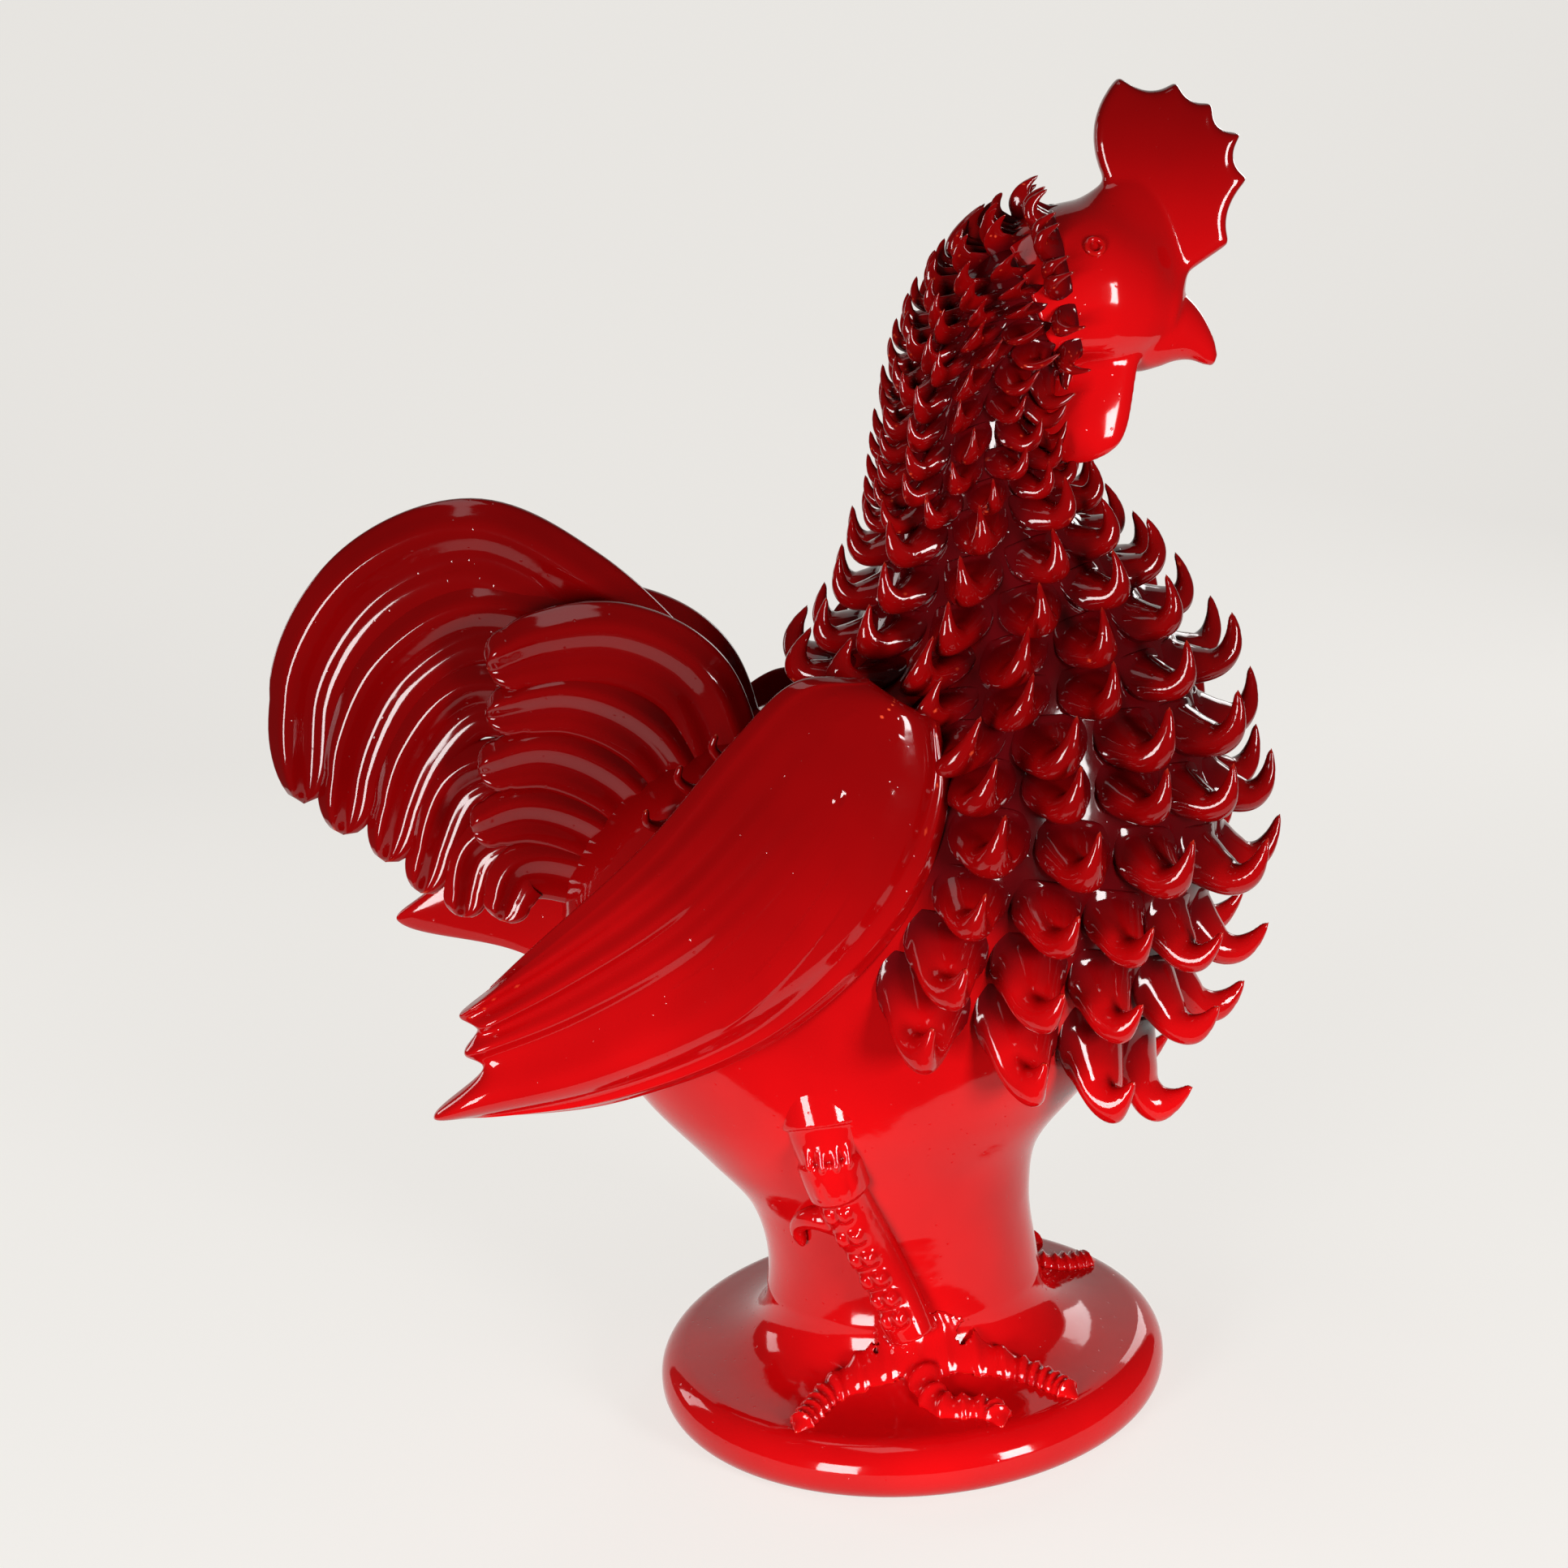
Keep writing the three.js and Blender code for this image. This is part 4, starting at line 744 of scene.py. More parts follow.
def leg(side):
    """Thigh, cuffs, shank, scutes, spur and flutes of one leg, still as separate forms."""
    clay = Clay()
    forward = LEFT_FOOT_FORWARD if side == LEFT else 0
    points = [[x + forward, side * (skin_reach(x + forward, z) + LEG_PROUD), z] for x, z in LEG_LINE]
    knee_x, _, knee_z = points[0]
    thigh = [[knee_x - back, side * (skin_reach(knee_x - back, knee_z + rise) - sunk), knee_z + rise]
             for back, rise, sunk in THIGH]
    points[0][1] -= side * KNEE_SUNK
    points[1][1] -= side * CALF_SUNK
    line = Line(thigh + points)
    length = line.length()
    above = length - Line(points).length()

    def radii(t):
        down = t * length - above
        if down < 0:
            return THIGH_RADIUS, THIGH_RADIUS
        half = mix(SHANK_TOP, SHANK_FOOT, down / (length - above))
        for top, bottom, wide, narrow in CUFFS:
            if top <= down < bottom:
                half = mix(wide, narrow, (down - top) / (bottom - top))
        return half, half

    clay.loft(rod(line, 220, 40, radii))
    out = np.array([0, side, 0.0])
    for i in range(SCUTES):
        t = (above + SCUTE_START + i * SCUTE_PITCH) / length
        at, along = line.at(t)[0], line.along(t)[0]
        away = unit(unit(np.cross(out, along) * side) * SCUTE_TURN + out)
        right = np.cross(along, away)
        pad(clay, at + away * 6.0, right, -along, away, 4.6, SCUTE_PITCH * 0.45, 1.7)
        for j in (-1, 1):
            middle = at + away * 7.4 + right * j * BUMP_APART
            pad(clay, middle, right, -along, away, 1.5, SCUTE_PITCH * 0.34, 1.3)
    spur = [[x + forward, side * (skin_reach(x + forward, z) + SPUR_PROUD), z] for x, z in SPUR_LINE]
    clay.loft(rod(Line(spur), 30, 20, spur_radii))
    for depth, tall, radius in FLUTES:
        t = (above + depth) / length
        at, along = line.at(t)[0], line.along(t)[0]
        for angle in FLUTE_ANGLES:
            away = unit(out * math.cos(angle) + np.cross(along, out) * side * math.sin(angle))
            pad(clay, at + away * radius, np.cross(along, away), -along, away, 1.1, tall, 0.5)
    return clay


print("forms in one leg", 2 + 3 * SCUTES + len(FLUTES) * len(FLUTE_ANGLES))

# %% [markdown]
# A toe leaves the foot of the leg, bends over the hollow curve and runs out to its place near
# the rim. Each of its rings is half a round that stands on the base, so it follows the base's
# top without a gap. A wave along the toe gives its ridges, and the last sixth is the claw.

# %% The toes
TOE_ANGLES = {"back": -119, "middle": -70, "front": -49}
TOE_BOWS = {"back": [-23, -45], "middle": [8, -55], "front": [30, -40]}
TOE_INSET, TOE_RADIUS, TOE_RIDGE, RIDGE_PITCH, RIDGES_END = 6, 4.4, 0.868, 4.5, 0.86
CLAW_START, CLAW_TIP, TOE_STEPS = 0.84, 0.22, 100
TOE_TAPER, TOE_SUNK, TOE_HEIGHT = 0.74, 0.4, 0.95
LEG_VOXEL, LEG_ROUNDS = 0.6, 3


def toe_line(side, name):
    forward, turned = (LEFT_FOOT_FORWARD, math.radians(LEFT_TOE_TURN)) if side == LEFT else (0, 0)
    angle = math.radians(TOE_ANGLES[name]) + turned
    foot_x, foot_z = LEG_LINE[-1]
    bow_x, bow_y = TOE_BOWS[name]
    tip = BASE_RADIUS - TOE_INSET
    points = [[foot_x + forward, -skin_reach(foot_x + forward, foot_z) - 1],
              [bow_x * math.cos(turned) - bow_y * math.sin(turned),
               bow_x * math.sin(turned) + bow_y * math.cos(turned)]]
    points += [[math.cos(angle) * r, math.sin(angle) * r] for r in (tip - 8, tip)]
    return Line([[x, -side * y, 0] for x, y in points])


def toe(side, name):
    line = toe_line(side, name)
    length = line.length()
    rings = []
    for t in np.linspace(0, 1, TOE_STEPS):
        at, along = line.at(t)[0], line.along(t)[0]
        across = np.array([-along[1], along[0], 0])
        wave = 0.5 + 0.5 * math.cos(2 * math.pi * t * length / RIDGE_PITCH)
        ridge = TOE_RIDGE * wave ** 2 if t < RIDGES_END else 0
        claw = mix(1, CLAW_TIP, max(0.0, t - CLAW_START) / (1 - CLAW_START))
        radius = TOE_RADIUS * mix(1, TOE_TAPER, t) * claw + ridge
        ring = []
        for a in np.linspace(0, math.pi, 15):
            p = at + across * (math.cos(a) * radius)
            p[2] = footing(p[0], p[1]) - TOE_SUNK + (TOE_HEIGHT * radius + ridge) * math.sin(a)
            ring.append(p)
        rings.append(ring)
    return rings


legs = {}
for side, name in SIDE_NAMES.items():
    clay = leg(side)
    for toe_name in TOE_ANGLES:
        clay.loft(toe(side, toe_name))
    legs[side] = melted(clay.object("leg_and_foot_" + name), LEG_VOXEL, LEG_ROUNDS)
    print("leg", name, len(legs[side].data.polygons), "faces")

# %% [markdown]
# Saddle thorns
# On each flank before the tail a pinched strip of clay carries three thin thorns.

# %% Thorns before the tail
THORN_LENGTH, THORN_ANGLE, THORN_STATIONS = 14, math.radians(140), (8.9, 9.4, 9.9)
# How far each point of a thorn is out, as a share of its length, and down, in mm
THORN_BEND = [(0, 0), (0.4, 3), (0.8, 3), (1, 0)]


def strip_radii(t):
    return 2.2 * round_end(abs(2 * t - 1), 0.7), 2.6 * round_end(abs(2 * t - 1), 0.7)


def thorn_radii(t):
    return (mix(2.3, 0.7, t) * round_end(t, 0.9),) * 2


thorns = {}
for side, name in SIDE_NAMES.items():
    clay = Clay()
    frames = [[v[0] for v in skin_frame(s, side * THORN_ANGLE)] for s in THORN_STATIONS]
    clay.loft(rod(Line([at + out for at, out, _, _ in frames]), 30, 16, strip_radii))
    for at, out, _, down in frames:
        bent = Line([at + out * THORN_LENGTH * share + down * drop for share, drop in THORN_BEND])
        clay.loft(rod(bent, 30, 16, thorn_radii))
    thorns[side] = clay.object("saddle_thorns_" + name)
print("thorns", len(SIDE_NAMES) * len(THORN_STATIONS))

# %% [markdown]
# Where the scales are set
# The breast and neck carry twenty rows of scales, each row shifted by half a scale against the
# one below, as tiles on a roof. A row follows a path round the skin, and the path's length
# decides how many scales it takes. The bib rows are open arcs that climb at their ends. The
# neck rows are rings, and over the nape they are open arcs again. On the upper neck the real
# scales are small and close, so there a row of small scales stands between each two rows.

# %% Paths of the rows
NECK_ROWS, BREAST_ROWS = 13, 7
TOP_ROW = BREAST_ROWS + NECK_ROWS - 1
NECK_PITCH, BREAST_PITCH, NECK_REACH, BREAST_REACH = 13, 25, 9, 21
BIB_RISE, BIB_SPAN_LOW, BIB_SPAN_TOP = 38, 112, 92
BIB_LOW, BIB_TOP, HOOD, NAPE_MARGIN, FACE_MARGIN = 5.95, 11.9, 18.1, 0.36, 0.7
BIB_CROWDING, NECK_CROWDING = 0.12, 0.165
# Shares of the lowest scales' size, at the top of the bib and where the neck starts
BIB_SHRINK, NECK_START_PITCH, NECK_START_REACH = 0.8, 0.75, 0.7
LOW_CURL, BIB_CURL, NECK_CURL = 0.95, 0.8, 0.75
PATH_STEPS = 180
DENSE_FROM, DENSE_PITCH, DENSE_REACH = 11, 0.74, 0.95


def crowded(share, crowding):
    """Moves the rows of a region a little towards its upper end."""
    return share * (1 + crowding * (1 - share))


class Along:
    """Station numbers found for a distance along the breast line or the back line."""

    def __init__(self, angle):
        self.step = 0.1
        station = np.arange(int(round(LAST / self.step)) + 1) * self.step
        p = skin_point(station, angle)
        self.lengths = np.concatenate([[0], np.cumsum(np.linalg.norm(np.diff(p, axis=0), axis=1))])

    def length_at(self, station):
        return self.lengths[int(round(station / self.step))]

    def station_at(self, length):
        last = self.lengths[-1]
        if length >= last:
            return LAST + (length - last) / (last - self.lengths[-2])
        return float(np.interp(length, self.lengths, np.arange(len(self.lengths)) * self.step))


breast_line, nape_line = Along(0), Along(math.pi)
print("breast line %.0f mm, back line %.0f mm" % (breast_line.lengths[-1], nape_line.lengths[-1]))

# %% Where a row runs


def row_station(row):
    """Gives the function that tells a row's station at each angle round the skin."""
    lowest = breast_line.length_at(BIB_LOW)
    bib = breast_line.length_at(BIB_TOP) - lowest
    if row < BREAST_ROWS:
        share = row / BREAST_ROWS
        middle = breast_line.station_at(lowest + bib * crowded(share, BIB_CROWDING))
        per_station = np.linalg.norm(skin_point(middle + 0.5, 0) - skin_point(middle - 0.5, 0))
        climb = BIB_RISE * (1 - share) / per_station
        return lambda angle: middle + climb * (1 - np.cos(angle))
    share = crowded((row - BREAST_ROWS) / (NECK_ROWS - 1), NECK_CROWDING)
    start = nape_line.length_at(BIB_TOP)
    nape = nape_line.length_at(HOOD) - start
    rear = nape_line.station_at(start + nape * share)
    front = breast_line.station_at(lowest + bib + nape * share)
    return lambda angle: np.minimum(HOOD, mix(rear, front, (1 + np.cos(angle)) / 2))


print("the lowest row is at station %.2f on the breast" % row_station(0)(0))

# %% How long a row is and how big its scales are


def row_plan(row):
    """A row's path from its middle to one end, and the pitch, reach and curl of its scales."""
    station = row_station(row)
    middle = 0.0 if row < BREAST_ROWS else math.pi
    angles = middle + math.pi * np.arange(PATH_STEPS + 1) / PATH_STEPS
    p = skin_point(station(angles), angles)
    lengths = np.concatenate([[0], np.cumsum(np.linalg.norm(np.diff(p, axis=0), axis=1))])
    plan = {"station": station, "middle": middle, "lengths": lengths, "half": lengths[-1], "closed": False}
    if row < BREAST_ROWS:
        share = row / BREAST_ROWS
        return plan | {"span": mix(BIB_SPAN_LOW, BIB_SPAN_TOP, share), "curl": mix(LOW_CURL, BIB_CURL, share),
                       "pitch": mix(BREAST_PITCH, BREAST_PITCH * BIB_SHRINK, share),
                       "reach": mix(BREAST_REACH, BREAST_REACH * BIB_SHRINK, share)}
    share = (row - BREAST_ROWS) / (NECK_ROWS - 1)
    limit = HOOD - mix(NAPE_MARGIN, FACE_MARGIN, ((1 + np.cos(angles)) / 2) ** 3)
    past = np.nonzero(station(angles) >= limit)[0]
    face = int(past[0]) if len(past) else -1
    opened = face > 0 and share < 1
    return plan | {"span": lengths[face] if opened else lengths[-1], "closed": not opened, "curl": NECK_CURL,
                   "pitch": mix(BREAST_PITCH * NECK_START_PITCH, NECK_PITCH, share ** 0.6),
                   "reach": mix(BREAST_REACH * NECK_START_REACH, NECK_REACH, share ** 0.7)}


print("the lowest row is %.0f mm long" % (2 * row_plan(0)["span"]))

# %% [markdown]
# One scale
# A scale is a tongue of clay pressed on at its upper end. Its lower half is pinched and pulled
# out and up into a horn. Here a flat tongue and a horn, bent like the letter J, are melted
# into one form at full size, whose horn stands on a ridge that splits the light in two, as on
# the real ones. This one form is then stretched to every place on the bird.

# %% The shape of a scale
SCALE_WIDTH, SCALE_REACH, SCALE_DROP, SCALE_TOP, TONGUE_HALF = 25, 21, 16, 4, 2.3
TONGUE_SUNK, TONGUE_LEAN, ROUNDING_FROM = 2.0, 5.0, 0.42
HORN_LINE = Line([[-4, -5], [3, -9.5], [9.5, -11.6], [14.5, -9.4], [18, -4], [20.2, 3.5]])
HORN_THICKNESS, HORN_WIDTH, HORN_END = (7.4, 0.7), (12.4, 0.8), 0.94
SCALE_VOXEL, SCALE_ROUNDS = 0.75, 5


def horn_radii(t):
    """Half the horn's thickness and half its width, which shrink from its root to its tip."""
    closing = round_end(t, HORN_END)
    return ((HORN_THICKNESS[0] * (1 - t) ** 0.9 + HORN_THICKNESS[1]) * closing,
            (HORN_WIDTH[0] * (1 - t) ** 1.35 + HORN_WIDTH[1]) * closing)


def pressed_scale():
    """One scale at full size, standing on a wall at x = 0 and pointing along x."""
    clay = Clay()
    a = np.linspace(0, 2 * math.pi, 40, endpoint=False)
    tongue = []
    for t in np.linspace(0, 1, 28):
        past = max(0.0, (t - ROUNDING_FROM) / (1 - ROUNDING_FROM))
        half = SCALE_WIDTH / 2 * (0.96 + 0.08 * t) * math.sqrt(max(1e-4, 1 - past ** 2.3))
        depth = TONGUE_HALF * math.sqrt(max(1e-3, 1 - past ** 6))
        height = SCALE_TOP - (SCALE_DROP + SCALE_TOP) * t
        out = depth * np.sin(a) - TONGUE_SUNK + TONGUE_LEAN * t ** 1.3
        tongue.append(np.column_stack([out, half * np.cos(a), np.full(len(a), height)]))
    clay.loft(tongue)
    clay.loft(rod(HORN_LINE, 40, 40, horn_radii))
    return melted(clay.object("pressed_scale", lift=0), SCALE_VOXEL, SCALE_ROUNDS)


scale_points, scale_faces = mesh_of(pressed_scale())
scale_share = np.clip(scale_points[:, 0] / SCALE_REACH, 0, 1)
print("one scale has", len(scale_faces), "faces")

# %% [markdown]
# A row of scales
# A scale sits on its row's path and looks out along the skin. How far it may reach and hang is
# worked out from the room down to the row below, measured at its middle and at both edges. A
# small repeatable unevenness in reach and sway keeps the rows from looking stamped.

# %% A row of scales
ROOM, SLENDER, SEAT, SEAT_LIMIT, LEAST_ROOM, LEAST_DROP = 0.7, 1.45, 0.18, 2.2, 5.5, 0.62
LEVEL_ROWS, LEVEL_SHARE, HOOD_EDGE, FULLNESS = 3, 0.62, -0.3, 1.06
NECK_SLIM, SAG_SHARE, UNEVEN_REACH, UNEVEN_SWAY = 0.86, 0.2, 0.2, 0.2


class ScaleRow:
    """The places and sizes of one row. Small rows between two others have a half number."""

    def __init__(self, row, dense):
        self.row, self.plan = row, row_plan(row)
        self.station, self.half = self.plan["station"], self.plan["half"]
        self.below = row_station(row - (0.5 if dense else 1))
        self.reach = self.plan["reach"] * (DENSE_REACH if dense else 1)
        wanted = self.plan["pitch"] * (DENSE_PITCH if dense else 1)
        odd = int(2 * row if dense else row) % 2
        span, closed = self.plan["span"], self.plan["closed"]
        if closed:
            self.count = int(math.floor(2 * span / wanted + 0.5))
        else:
            self.count = 2 * max(1 - odd, int(math.floor(span / wanted - odd / 2 + 0.5))) + odd
        self.pitch = 2 * span / self.count
        self.offset = 0.5 if closed and odd else 0

    def angle_at(self, place):
        distance = (place + self.offset - self.count / 2) * self.pitch
        if distance > self.half:
            distance -= 2 * self.half
        far = min(abs(distance), self.half - 1e-6)
        step = np.interp(far, self.plan["lengths"], np.arange(PATH_STEPS + 1))
        return self.plan["middle"] + math.copysign(math.pi * step / PATH_STEPS, distance)

    def on_skin(self, place):
        angle = self.angle_at(place)
        return skin_point(self.station(angle), angle)[0]

    def sag_at(self, place):
        """How far the skin bulges between the edges of a scale."""
        angle = self.angle_at(place)
        at, out, _, _ = (v[0] for v in skin_frame(self.station(angle), angle))
        edges = (self.on_skin(place - 0.5) + self.on_skin(place + 0.5)) / 2
        return float(np.clip((at - edges) @ out, 0, SEAT_LIMIT))

    def frame_at(self, place):
        """A place on the row, its directions out, along and down, its room and the skin's flare."""
        angle = self.angle_at(place)
        at, out, sideways, down = (v[0] for v in skin_frame(self.station(angle), angle))
        run = unit(self.on_skin(place + 0.1) - at)
        if not self.row:
            return at, out, run, down, float(self.plan["reach"]), 0.0
        lower = skin_point(self.below(angle), angle)[0]
        room = float(np.linalg.norm(at - lower) * abs(run @ sideways))
        return at, out, run, down, room, max(0.0, float((lower - at) @ out) / max(room, 1))

    def size_at(self, i, room, flare):
        plan, row, sag = self.plan, self.row, self.sag_at(i + 0.5)
        uneven = self.reach * (1 + UNEVEN_REACH * handmade(row, i))
        return {
            "width": self.pitch * mix(1, NECK_SLIM, max(0, row - BREAST_ROWS) / NECK_ROWS),
            "seat": SEAT + sag * SAG_SHARE, "sag": sag,
            "reach": min(uneven, SLENDER * room * FULLNESS),
            "drop": max(LEAST_DROP * self.pitch, min(self.reach * plan["curl"], ROOM * room) * FULLNESS),
            "level": mix(LEVEL_SHARE, 0.0, min(1, row / LEVEL_ROWS)),
            "sway": handmade(row + 40, i) * self.pitch * UNEVEN_SWAY,
            "flare": flare,
        }


print("scales in the lowest row", ScaleRow(0, False).count)

# %% Stretch a scale to its place


def set_scale(at, out, sideways, down, size):
    """The points of the pressed scale at one place. In the lowest rows the horns point lower."""
    x = scale_points[:, 0] * size["reach"] / SCALE_REACH
    y = scale_points[:, 1] * size["width"] / SCALE_WIDTH
    fall = -scale_points[:, 2] * size["drop"] / SCALE_DROP
    fall = fall + size["level"] * size["drop"] * scale_share ** 1.5
    x = x + size["seat"] + size["flare"] * np.maximum(fall, 0)
    x = x - size["sag"] * (1 - scale_share) ** 2 * (2 * y / size["width"]) ** 2
    y = y + size["sway"] * scale_share ** 2
    return at + np.outer(x, out) + np.outer(y, sideways) + np.outer(fall, down)


print("points moved for each scale", len(scale_points))

# %% Fill a row


def set_row(clay, row, dense):
    """Puts a row's scales into a piece of clay. The topmost row leaves the face free."""
    scales, made = ScaleRow(row, dense), 0
    for i in range(scales.count):
        if row == TOP_ROW and math.cos(scales.angle_at(i + 0.5)) > HOOD_EDGE:
            continue
        *directions, room, flare = scales.frame_at(i + 0.5)
        ends = [scales.frame_at(i)[4:], scales.frame_at(i + 1)[4:]]
        room = max(LEAST_ROOM, min([room] + [end[0] for end in ends]))
        flare = max([flare] + [end[1] for end in ends])
        clay.copy(set_scale(*directions, scales.size_at(i, room, flare)), scale_faces)
        made += 1
    return made


print("rows to fill", TOP_ROW + 1 + TOP_ROW - DENSE_FROM + 1)

# %% Set every scale
scale_rows = []
total = 0
for row in range(TOP_ROW + 1):
    clay = Clay()
    count = set_row(clay, row, row >= DENSE_FROM)
    if DENSE_FROM - 1 <= row < TOP_ROW:
        count += set_row(clay, row + 0.5, True)
    # Painted shade darkens the root of each scale and fades out along its horn
    painted_shade = np.tile(1 - np.clip(scale_share * 2.4, 0, 1), count)
    scale_rows.append(clay.object("scale_ring_%02d" % (row + 1), painted_shade=painted_shade))
    total += count
print("scales", total, "in", len(scale_rows), "rows")

# %% [markdown]
# The glaze
# One deep red glossy glaze covers everything. Where it runs thin, on edges and ridges, the
# pale body shows through as orange. In hollows and under the scales painted shade turns it
# nearly black: pointiness tells edges from hollows, and the numbers on skin and scales say
# where the painted shade falls. Painted shade also darkens the red towards the top. Noise
# gives clouds in the colour, an uneven gloss and a faint orange peel, and small cells give tiny pits.

# %% Tools for mixing a glaze
# The first colour is painted shade for hollows and for the skin under the scales, the second the glaze's own
# red, the third its orange where it runs thin
PAINTED_SHADE_RED, FULL_RED, THIN_RED = (0.06, 0.0008, 0.002, 1), (0.60, 0.0022, 0.0035, 1), (0.80, 0.085, 0.03, 1)
WHITE, BLACK = (1, 1, 1, 1), (0, 0, 0, 1)


def grey(value):
    return (value, value, value, 1)


class Glaze:
    """A glossy material with short ways to add noise, ramps and blends to it."""

    def __init__(self, name, seed):
        self.material = bpy.data.materials.new(name)
        self.material.use_nodes = True
        self.nodes, self.link = self.material.node_tree.nodes, self.material.node_tree.links.new
        self.shader = self.nodes["Principled BSDF"]
        self.place = self.nodes.new("ShaderNodeTexCoord").outputs["Object"]
        shift = self.add("ShaderNodeMapping", Vector=self.place)
        shift.inputs["Location"].default_value = (seed, seed * 0.7, 0)
        self.shifted = shift.outputs["Vector"]

    def add(self, kind, **inputs):
        """Adds a node. An input is either a number or the output of another node."""
        node = self.nodes.new(kind)
        for name, value in inputs.items():
            socket = node.inputs[name.replace("_", " ")]
            if isinstance(value, bpy.types.NodeSocket):
                self.link(value, socket)
            else:
                socket.default_value = value
        return node

    def noise(self, scale, detail=3.0):
        return self.add("ShaderNodeTexNoise", Vector=self.shifted, Scale=scale, Detail=detail).outputs["Fac"]

    def ramp(self, source, start, stop):
        """Goes from one colour to another between two values of the source."""
        node = self.add("ShaderNodeValToRGB", Fac=source)
        for element, (where, colour) in zip(node.color_ramp.elements, (start, stop)):
            element.position, element.color = where, colour
        return node.outputs["Color"]

    def blend(self, kind, amount, a, b):
        node = self.nodes.new("ShaderNodeMix")
        node.data_type, node.blend_type = "RGBA", kind
        for socket, value in ((node.inputs[0], amount), (node.inputs[6], a), (node.inputs[7], b)):
            if isinstance(value, bpy.types.NodeSocket):
                self.link(value, socket)
            else:
                socket.default_value = value
        return node.outputs[2]

    def bump(self, strength, distance, height, **inputs):
        node = self.add("ShaderNodeBump", Strength=strength, Distance=distance, Height=height, **inputs)
        return node.outputs["Normal"]


print("glaze tools are ready")

# %% Mix the glaze
IOR, SMOOTHEST, ROUGHEST = 1.39, 0.035, 0.12


def glaze_colour(glaze, shade_starts_at, shade_full_at, top_shade_share):
    """Red with painted shade that darkens it upwards between two heights, orange on thin edges,
    and painted shade that turns hollows and the numbered skin and scale roots nearly black.
    """
    pointiness = glaze.nodes.new("ShaderNodeNewGeometry").outputs["Pointiness"]
    height = glaze.add("ShaderNodeMapRange", From_Min=shade_starts_at, From_Max=shade_full_at)
    height.interpolation_type = "SMOOTHSTEP"
    glaze.link(glaze.add("ShaderNodeSeparateXYZ", Vector=glaze.place).outputs["Z"], height.inputs["Value"])
    # Painted shade: between the two heights the red darkens towards the top, where less light falls
    shaded_top_red = tuple(c * top_shade_share for c in FULL_RED[:3]) + (1,)
    full = glaze.blend("MIX", height.outputs["Result"], FULL_RED, shaded_top_red)
    patches = glaze.ramp(glaze.noise(22), (0.35, grey(0.82)), (0.7, WHITE))
    clouds = glaze.blend("MULTIPLY", 1.0, full, patches)
    edges = glaze.ramp(pointiness, (0.55, BLACK), (0.68, grey(0.75)))
    gaps = glaze.ramp(glaze.noise(160), (0.3, grey(0.25)), (0.62, WHITE))
    thin = glaze.blend("MIX", glaze.blend("MULTIPLY", 1.0, edges, gaps), clouds, THIN_RED)
    # Painted shade: low pointiness in hollows, and the numbers on skin and scale roots, turn the red nearly
    # black
    hollows = glaze.ramp(pointiness, (0.40, WHITE), (0.485, BLACK))
    shade_numbers = glaze.nodes.new("ShaderNodeAttribute")
    shade_numbers.attribute_name = "painted_shade"
    deep = glaze.blend("LIGHTEN", 1.0, glaze.blend("MULTIPLY", 1.0, hollows, grey(0.85)),
                       glaze.ramp(shade_numbers.outputs["Fac"], (0, BLACK), (1, grey(0.9))))
    return glaze.blend("MIX", deep, thin, PAINTED_SHADE_RED)


def mixed_glaze(name, top_shade_share, seed=0.0, shade_starts_at=0.09, shade_full_at=0.205):
    glaze = Glaze(name, seed)
    glaze.shader.inputs["IOR"].default_value = IOR
    glaze.link(glaze_colour(glaze, shade_starts_at, shade_full_at, top_shade_share), glaze.shader.inputs["Base Color"])
    rough = glaze.add("ShaderNodeMapRange", Value=glaze.noise(60, 4.0), To_Min=SMOOTHEST, To_Max=ROUGHEST)
    glaze.link(rough.outputs["Result"], glaze.shader.inputs["Roughness"])
    peel = glaze.bump(0.10, 0.0006, glaze.noise(140, 2.0))
    cells = glaze.add("ShaderNodeTexVoronoi", Vector=glaze.shifted, Scale=260).outputs["Distance"]
    pits = glaze.bump(0.22, 0.0003, glaze.ramp(cells, (0.04, BLACK), (0.12, WHITE)), Normal=peel)
    glaze.link(pits, glaze.shader.inputs["Normal"])
    return glaze.material


# Each glaze carries painted shade at the top. The tail's glaze is darker there, and the face's shade runs
# over the heights of the head
red_glaze = mixed_glaze("red glaze", 0.34)
dark_glaze = mixed_glaze("red glaze, darker painted shade at the top", 0.27, seed=3.0)
face_glaze = mixed_glaze("red glaze of the face", 0.28, seed=5.0, shade_starts_at=0.295, shade_full_at=0.365)
print("glazes", red_glaze.name, dark_glaze.name, face_glaze.name)

# %% [markdown]
# On the frame
# Each piece takes the place of its plain CAD solids, rides on the one body of the part, and
# takes one of the glazes mixed above.

# %% Put the pieces on the frame


def settle(piece, material, slot, *nodes):
    piece.data.materials.clear()
    piece.data.materials.append(material)
    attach(piece, "root")
    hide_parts(*nodes)


settle(skin, red_glaze, "glaze_base", "base_disc", "pedestal", "body_shell", "neck_shell")
settle(head, face_glaze, "glaze_red", "head", "comb", "beak", "wattle_right", "wattle_left")
for side, name in SIDE_NAMES.items():
    settle(wings[side], red_glaze, "glaze_red", "wing_" + name)
    toes = ["toe_%s_%s" % (toe_name, name) for toe_name in TOE_ANGLES]
    settle(legs[side], red_glaze, "glaze_red", "leg_" + name, *toes)
    settle(thorns[side], red_glaze, "glaze_red", "saddle_thorns_" + name)
for layer, piece in tail_pieces.items():
    sickles = ["sickle_%s_%d" % (layer, i + 1) for i in range(len(LAYERS[layer][1]))]
    settle(piece, dark_glaze, "glaze_red", *sickles)
for row, piece in enumerate(scale_rows):
    settle(piece, red_glaze, "glaze_red", "scale_row_%02d" % (row + 1))

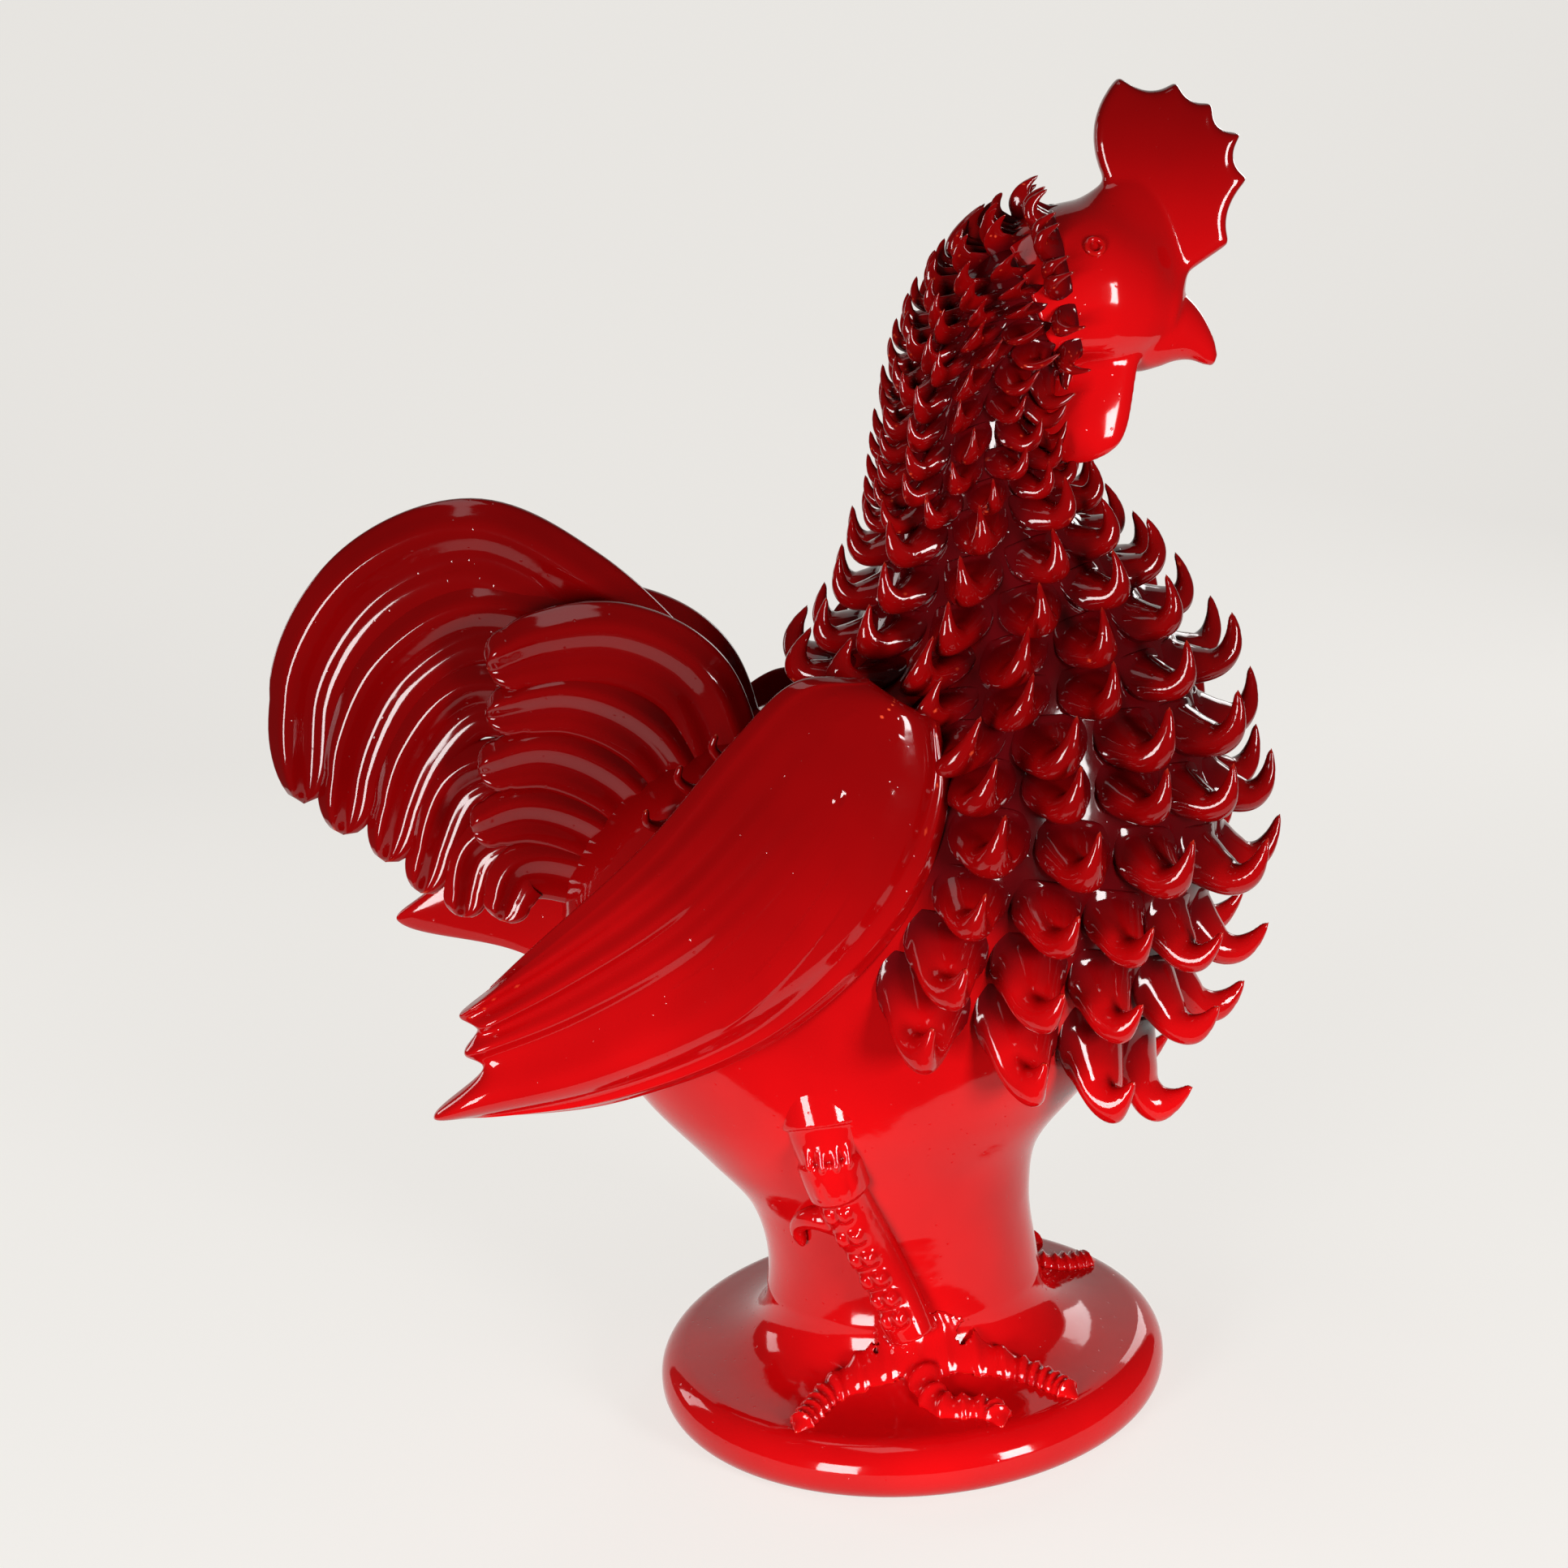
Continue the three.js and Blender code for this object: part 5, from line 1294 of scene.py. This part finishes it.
# %% [markdown]
# Studio
# A pale sheet of paper runs under the object and up behind it, so there is no horizon. Glossy
# glaze shows its surroundings, so the room matters as much as the lamps. The paper starts
# close in front, because a wide pale floor would turn the glaze milky, and the room is kept
# dim. Tall rectangular lamps give the window-shaped lights.

# %% Paper sweep
PAPER_FRONT, PAPER_BEND, BEND_DEPTH, BEND_HEIGHT, PAPER_TOP = -0.13, 0.9, 0.7, 0.7, 3.2
PAPER_HALF, PAPER_WIDENS = 0.27, 0.58


def paper_sweep():
    bend = np.radians(np.linspace(5, 90, 16))
    depth = np.concatenate([np.linspace(PAPER_FRONT, PAPER_BEND, 12), PAPER_BEND + BEND_DEPTH * np.sin(bend),
                            np.full(6, PAPER_BEND + BEND_DEPTH)])
    height = np.concatenate([np.zeros(12), BEND_HEIGHT * (1 - np.cos(bend)),
                             np.linspace(BEND_HEIGHT + 0.2, PAPER_TOP, 6)])
    half = PAPER_HALF + PAPER_WIDENS * (depth - PAPER_FRONT)
    points = [(x * w, y, z) for y, z, w in zip(depth, height, half) for x in (-1, 0, 1)]
    corners = [i * 3 + k for i in range(len(depth) - 1) for k in (0, 1)]
    faces = [(at, at + 1, at + 4, at + 3) for at in corners]
    mesh = bpy.data.meshes.new("paper_sweep")
    mesh.from_pydata(points, [], faces)
    mesh.shade_smooth()
    made = bpy.data.objects.new("paper_sweep", mesh)
    bpy.context.collection.objects.link(made)
    return made


paper = paper_sweep()
print("paper", len(paper.data.polygons), "faces")

# %% [markdown]
# The paper would be grey under such plain light. It glows a little to the camera and in
# reflections only, so it looks pale and still casts no light on the bird.

# %% Finish of the paper
PAPER_COLOUR, PAPER_GLOW = (0.28, 0.277, 0.268, 1), 0.72
paper_finish = bpy.data.materials.new("pale paper")
paper_finish.use_nodes = True
paper_shader = paper_finish.node_tree.nodes["Principled BSDF"]
paper_shader.inputs["Base Color"].default_value = PAPER_COLOUR
paper_shader.inputs["Roughness"].default_value = 0.9
paper_shader.inputs["Specular IOR Level"].default_value = 0.1
paper_shader.inputs["Emission Color"].default_value = (1, 0.975, 0.935, 1)


def combined(operation, a, b):
    """A math node of two values. Each is a number or the output of another node."""
    node = paper_finish.node_tree.nodes.new("ShaderNodeMath")
    node.operation = operation
    for socket, value in zip(node.inputs, (a, b)):
        if isinstance(value, bpy.types.NodeSocket):
            paper_finish.node_tree.links.new(value, socket)
        else:
            socket.default_value = value
    return node.outputs[0]


ray = paper_finish.node_tree.nodes.new("ShaderNodeLightPath").outputs
seen = combined("MAXIMUM", ray["Is Camera Ray"], ray["Is Glossy Ray"])
seen = combined("MAXIMUM", seen, ray["Is Transmission Ray"])
glow = combined("MULTIPLY", seen, PAPER_GLOW)
paper_finish.node_tree.links.new(glow, paper_shader.inputs["Emission Strength"])
paper.data.materials.append(paper_finish)
print("paper glows to the camera at", PAPER_GLOW)

# %% [markdown]
# Two tall lamps stand in front, like the windows that the real glaze mirrors. Weak lamps above
# and behind keep the far sides from going black.

# %% Lamps and room
ROOM_COLOUR, ROOM_LIGHT = (1, 0.985, 0.96, 1), 0.05
# Each lamp's name, place, aim, width, height and power in watts
LAMPS = [
    ("tall window left", (-0.52, -0.80, 0.12), (0, 0, 0.14), 0.28, 0.42, 9.5),
    ("tall window right", (0.62, -0.74, 0.20), (0, 0, 0.12), 0.22, 0.38, 8.5),
    ("skylight", (-0.25, -0.1, 1.2), (0, 0, 0.2), 0.7, 0.3, 1.2),
    ("window behind", (0.55, 0.95, 0.55), (0, 0, 0.2), 0.3, 0.4, 1.6),
    ("window behind the tail", (-0.85, 0.5, 0.4), (0, 0, 0.2), 0.2, 0.4, 1.2),
]
room = bpy.data.worlds.new("dim room")
bpy.context.scene.world = room
room.use_nodes = True
room.node_tree.nodes["Background"].inputs["Color"].default_value = ROOM_COLOUR
room.node_tree.nodes["Background"].inputs["Strength"].default_value = ROOM_LIGHT


def softbox(name, at, aim, wide, tall, power):
    lamp = bpy.data.lights.new(name, "AREA")
    lamp.shape, lamp.size, lamp.size_y, lamp.energy = "RECTANGLE", wide, tall, power
    made = bpy.data.objects.new(name, lamp)
    made.location = at
    made.rotation_euler = (Vector(aim) - Vector(at)).to_track_quat("-Z", "Y").to_euler()
    bpy.context.collection.objects.link(made)


for lamp in LAMPS:
    softbox(*lamp)
print("lamps", len(LAMPS))

# %% [markdown]
# Camera
# The camera stands where the photographer stood: a hand's width above the bird's head height,
# looking down a little, turned and tilted by a few degrees.

# %% Place the camera
EYE_POINT, YAW, PITCH, ROLL = (0, -0.6675, 0.3537), -2.01, 14.18, -4.9
IMAGE_PIXELS, FOCAL_PIXELS, SENSOR = 1932, 3000, 36
yaw, pitch, roll = (math.radians(v) for v in (YAW, PITCH, ROLL))
north, east, up = Vector((0, 1, 0)), Vector((1, 0, 0)), Vector((0, 0, 1))
ahead = north * math.cos(yaw) + east * math.sin(yaw)
aside = east * math.cos(yaw) - north * math.sin(yaw)
look = ahead * math.cos(pitch) - up * math.sin(pitch)
over = up * math.cos(pitch) + ahead * math.sin(pitch)
right_hand = aside * math.cos(roll) + over * math.sin(roll)
upward = over * math.cos(roll) - aside * math.sin(roll)
lens = bpy.data.cameras.new("view")
lens.sensor_width, lens.lens = SENSOR, SENSOR * FOCAL_PIXELS / IMAGE_PIXELS
camera = bpy.data.objects.new("view", lens)
turned = Matrix((right_hand, upward, -look)).transposed().to_4x4()
camera.matrix_world = Matrix.Translation(EYE_POINT) @ turned
bpy.context.collection.objects.link(camera)
bpy.context.scene.camera = camera
bpy.context.scene.view_settings.view_transform = "Standard"
print("lens %.1f mm" % lens.lens)
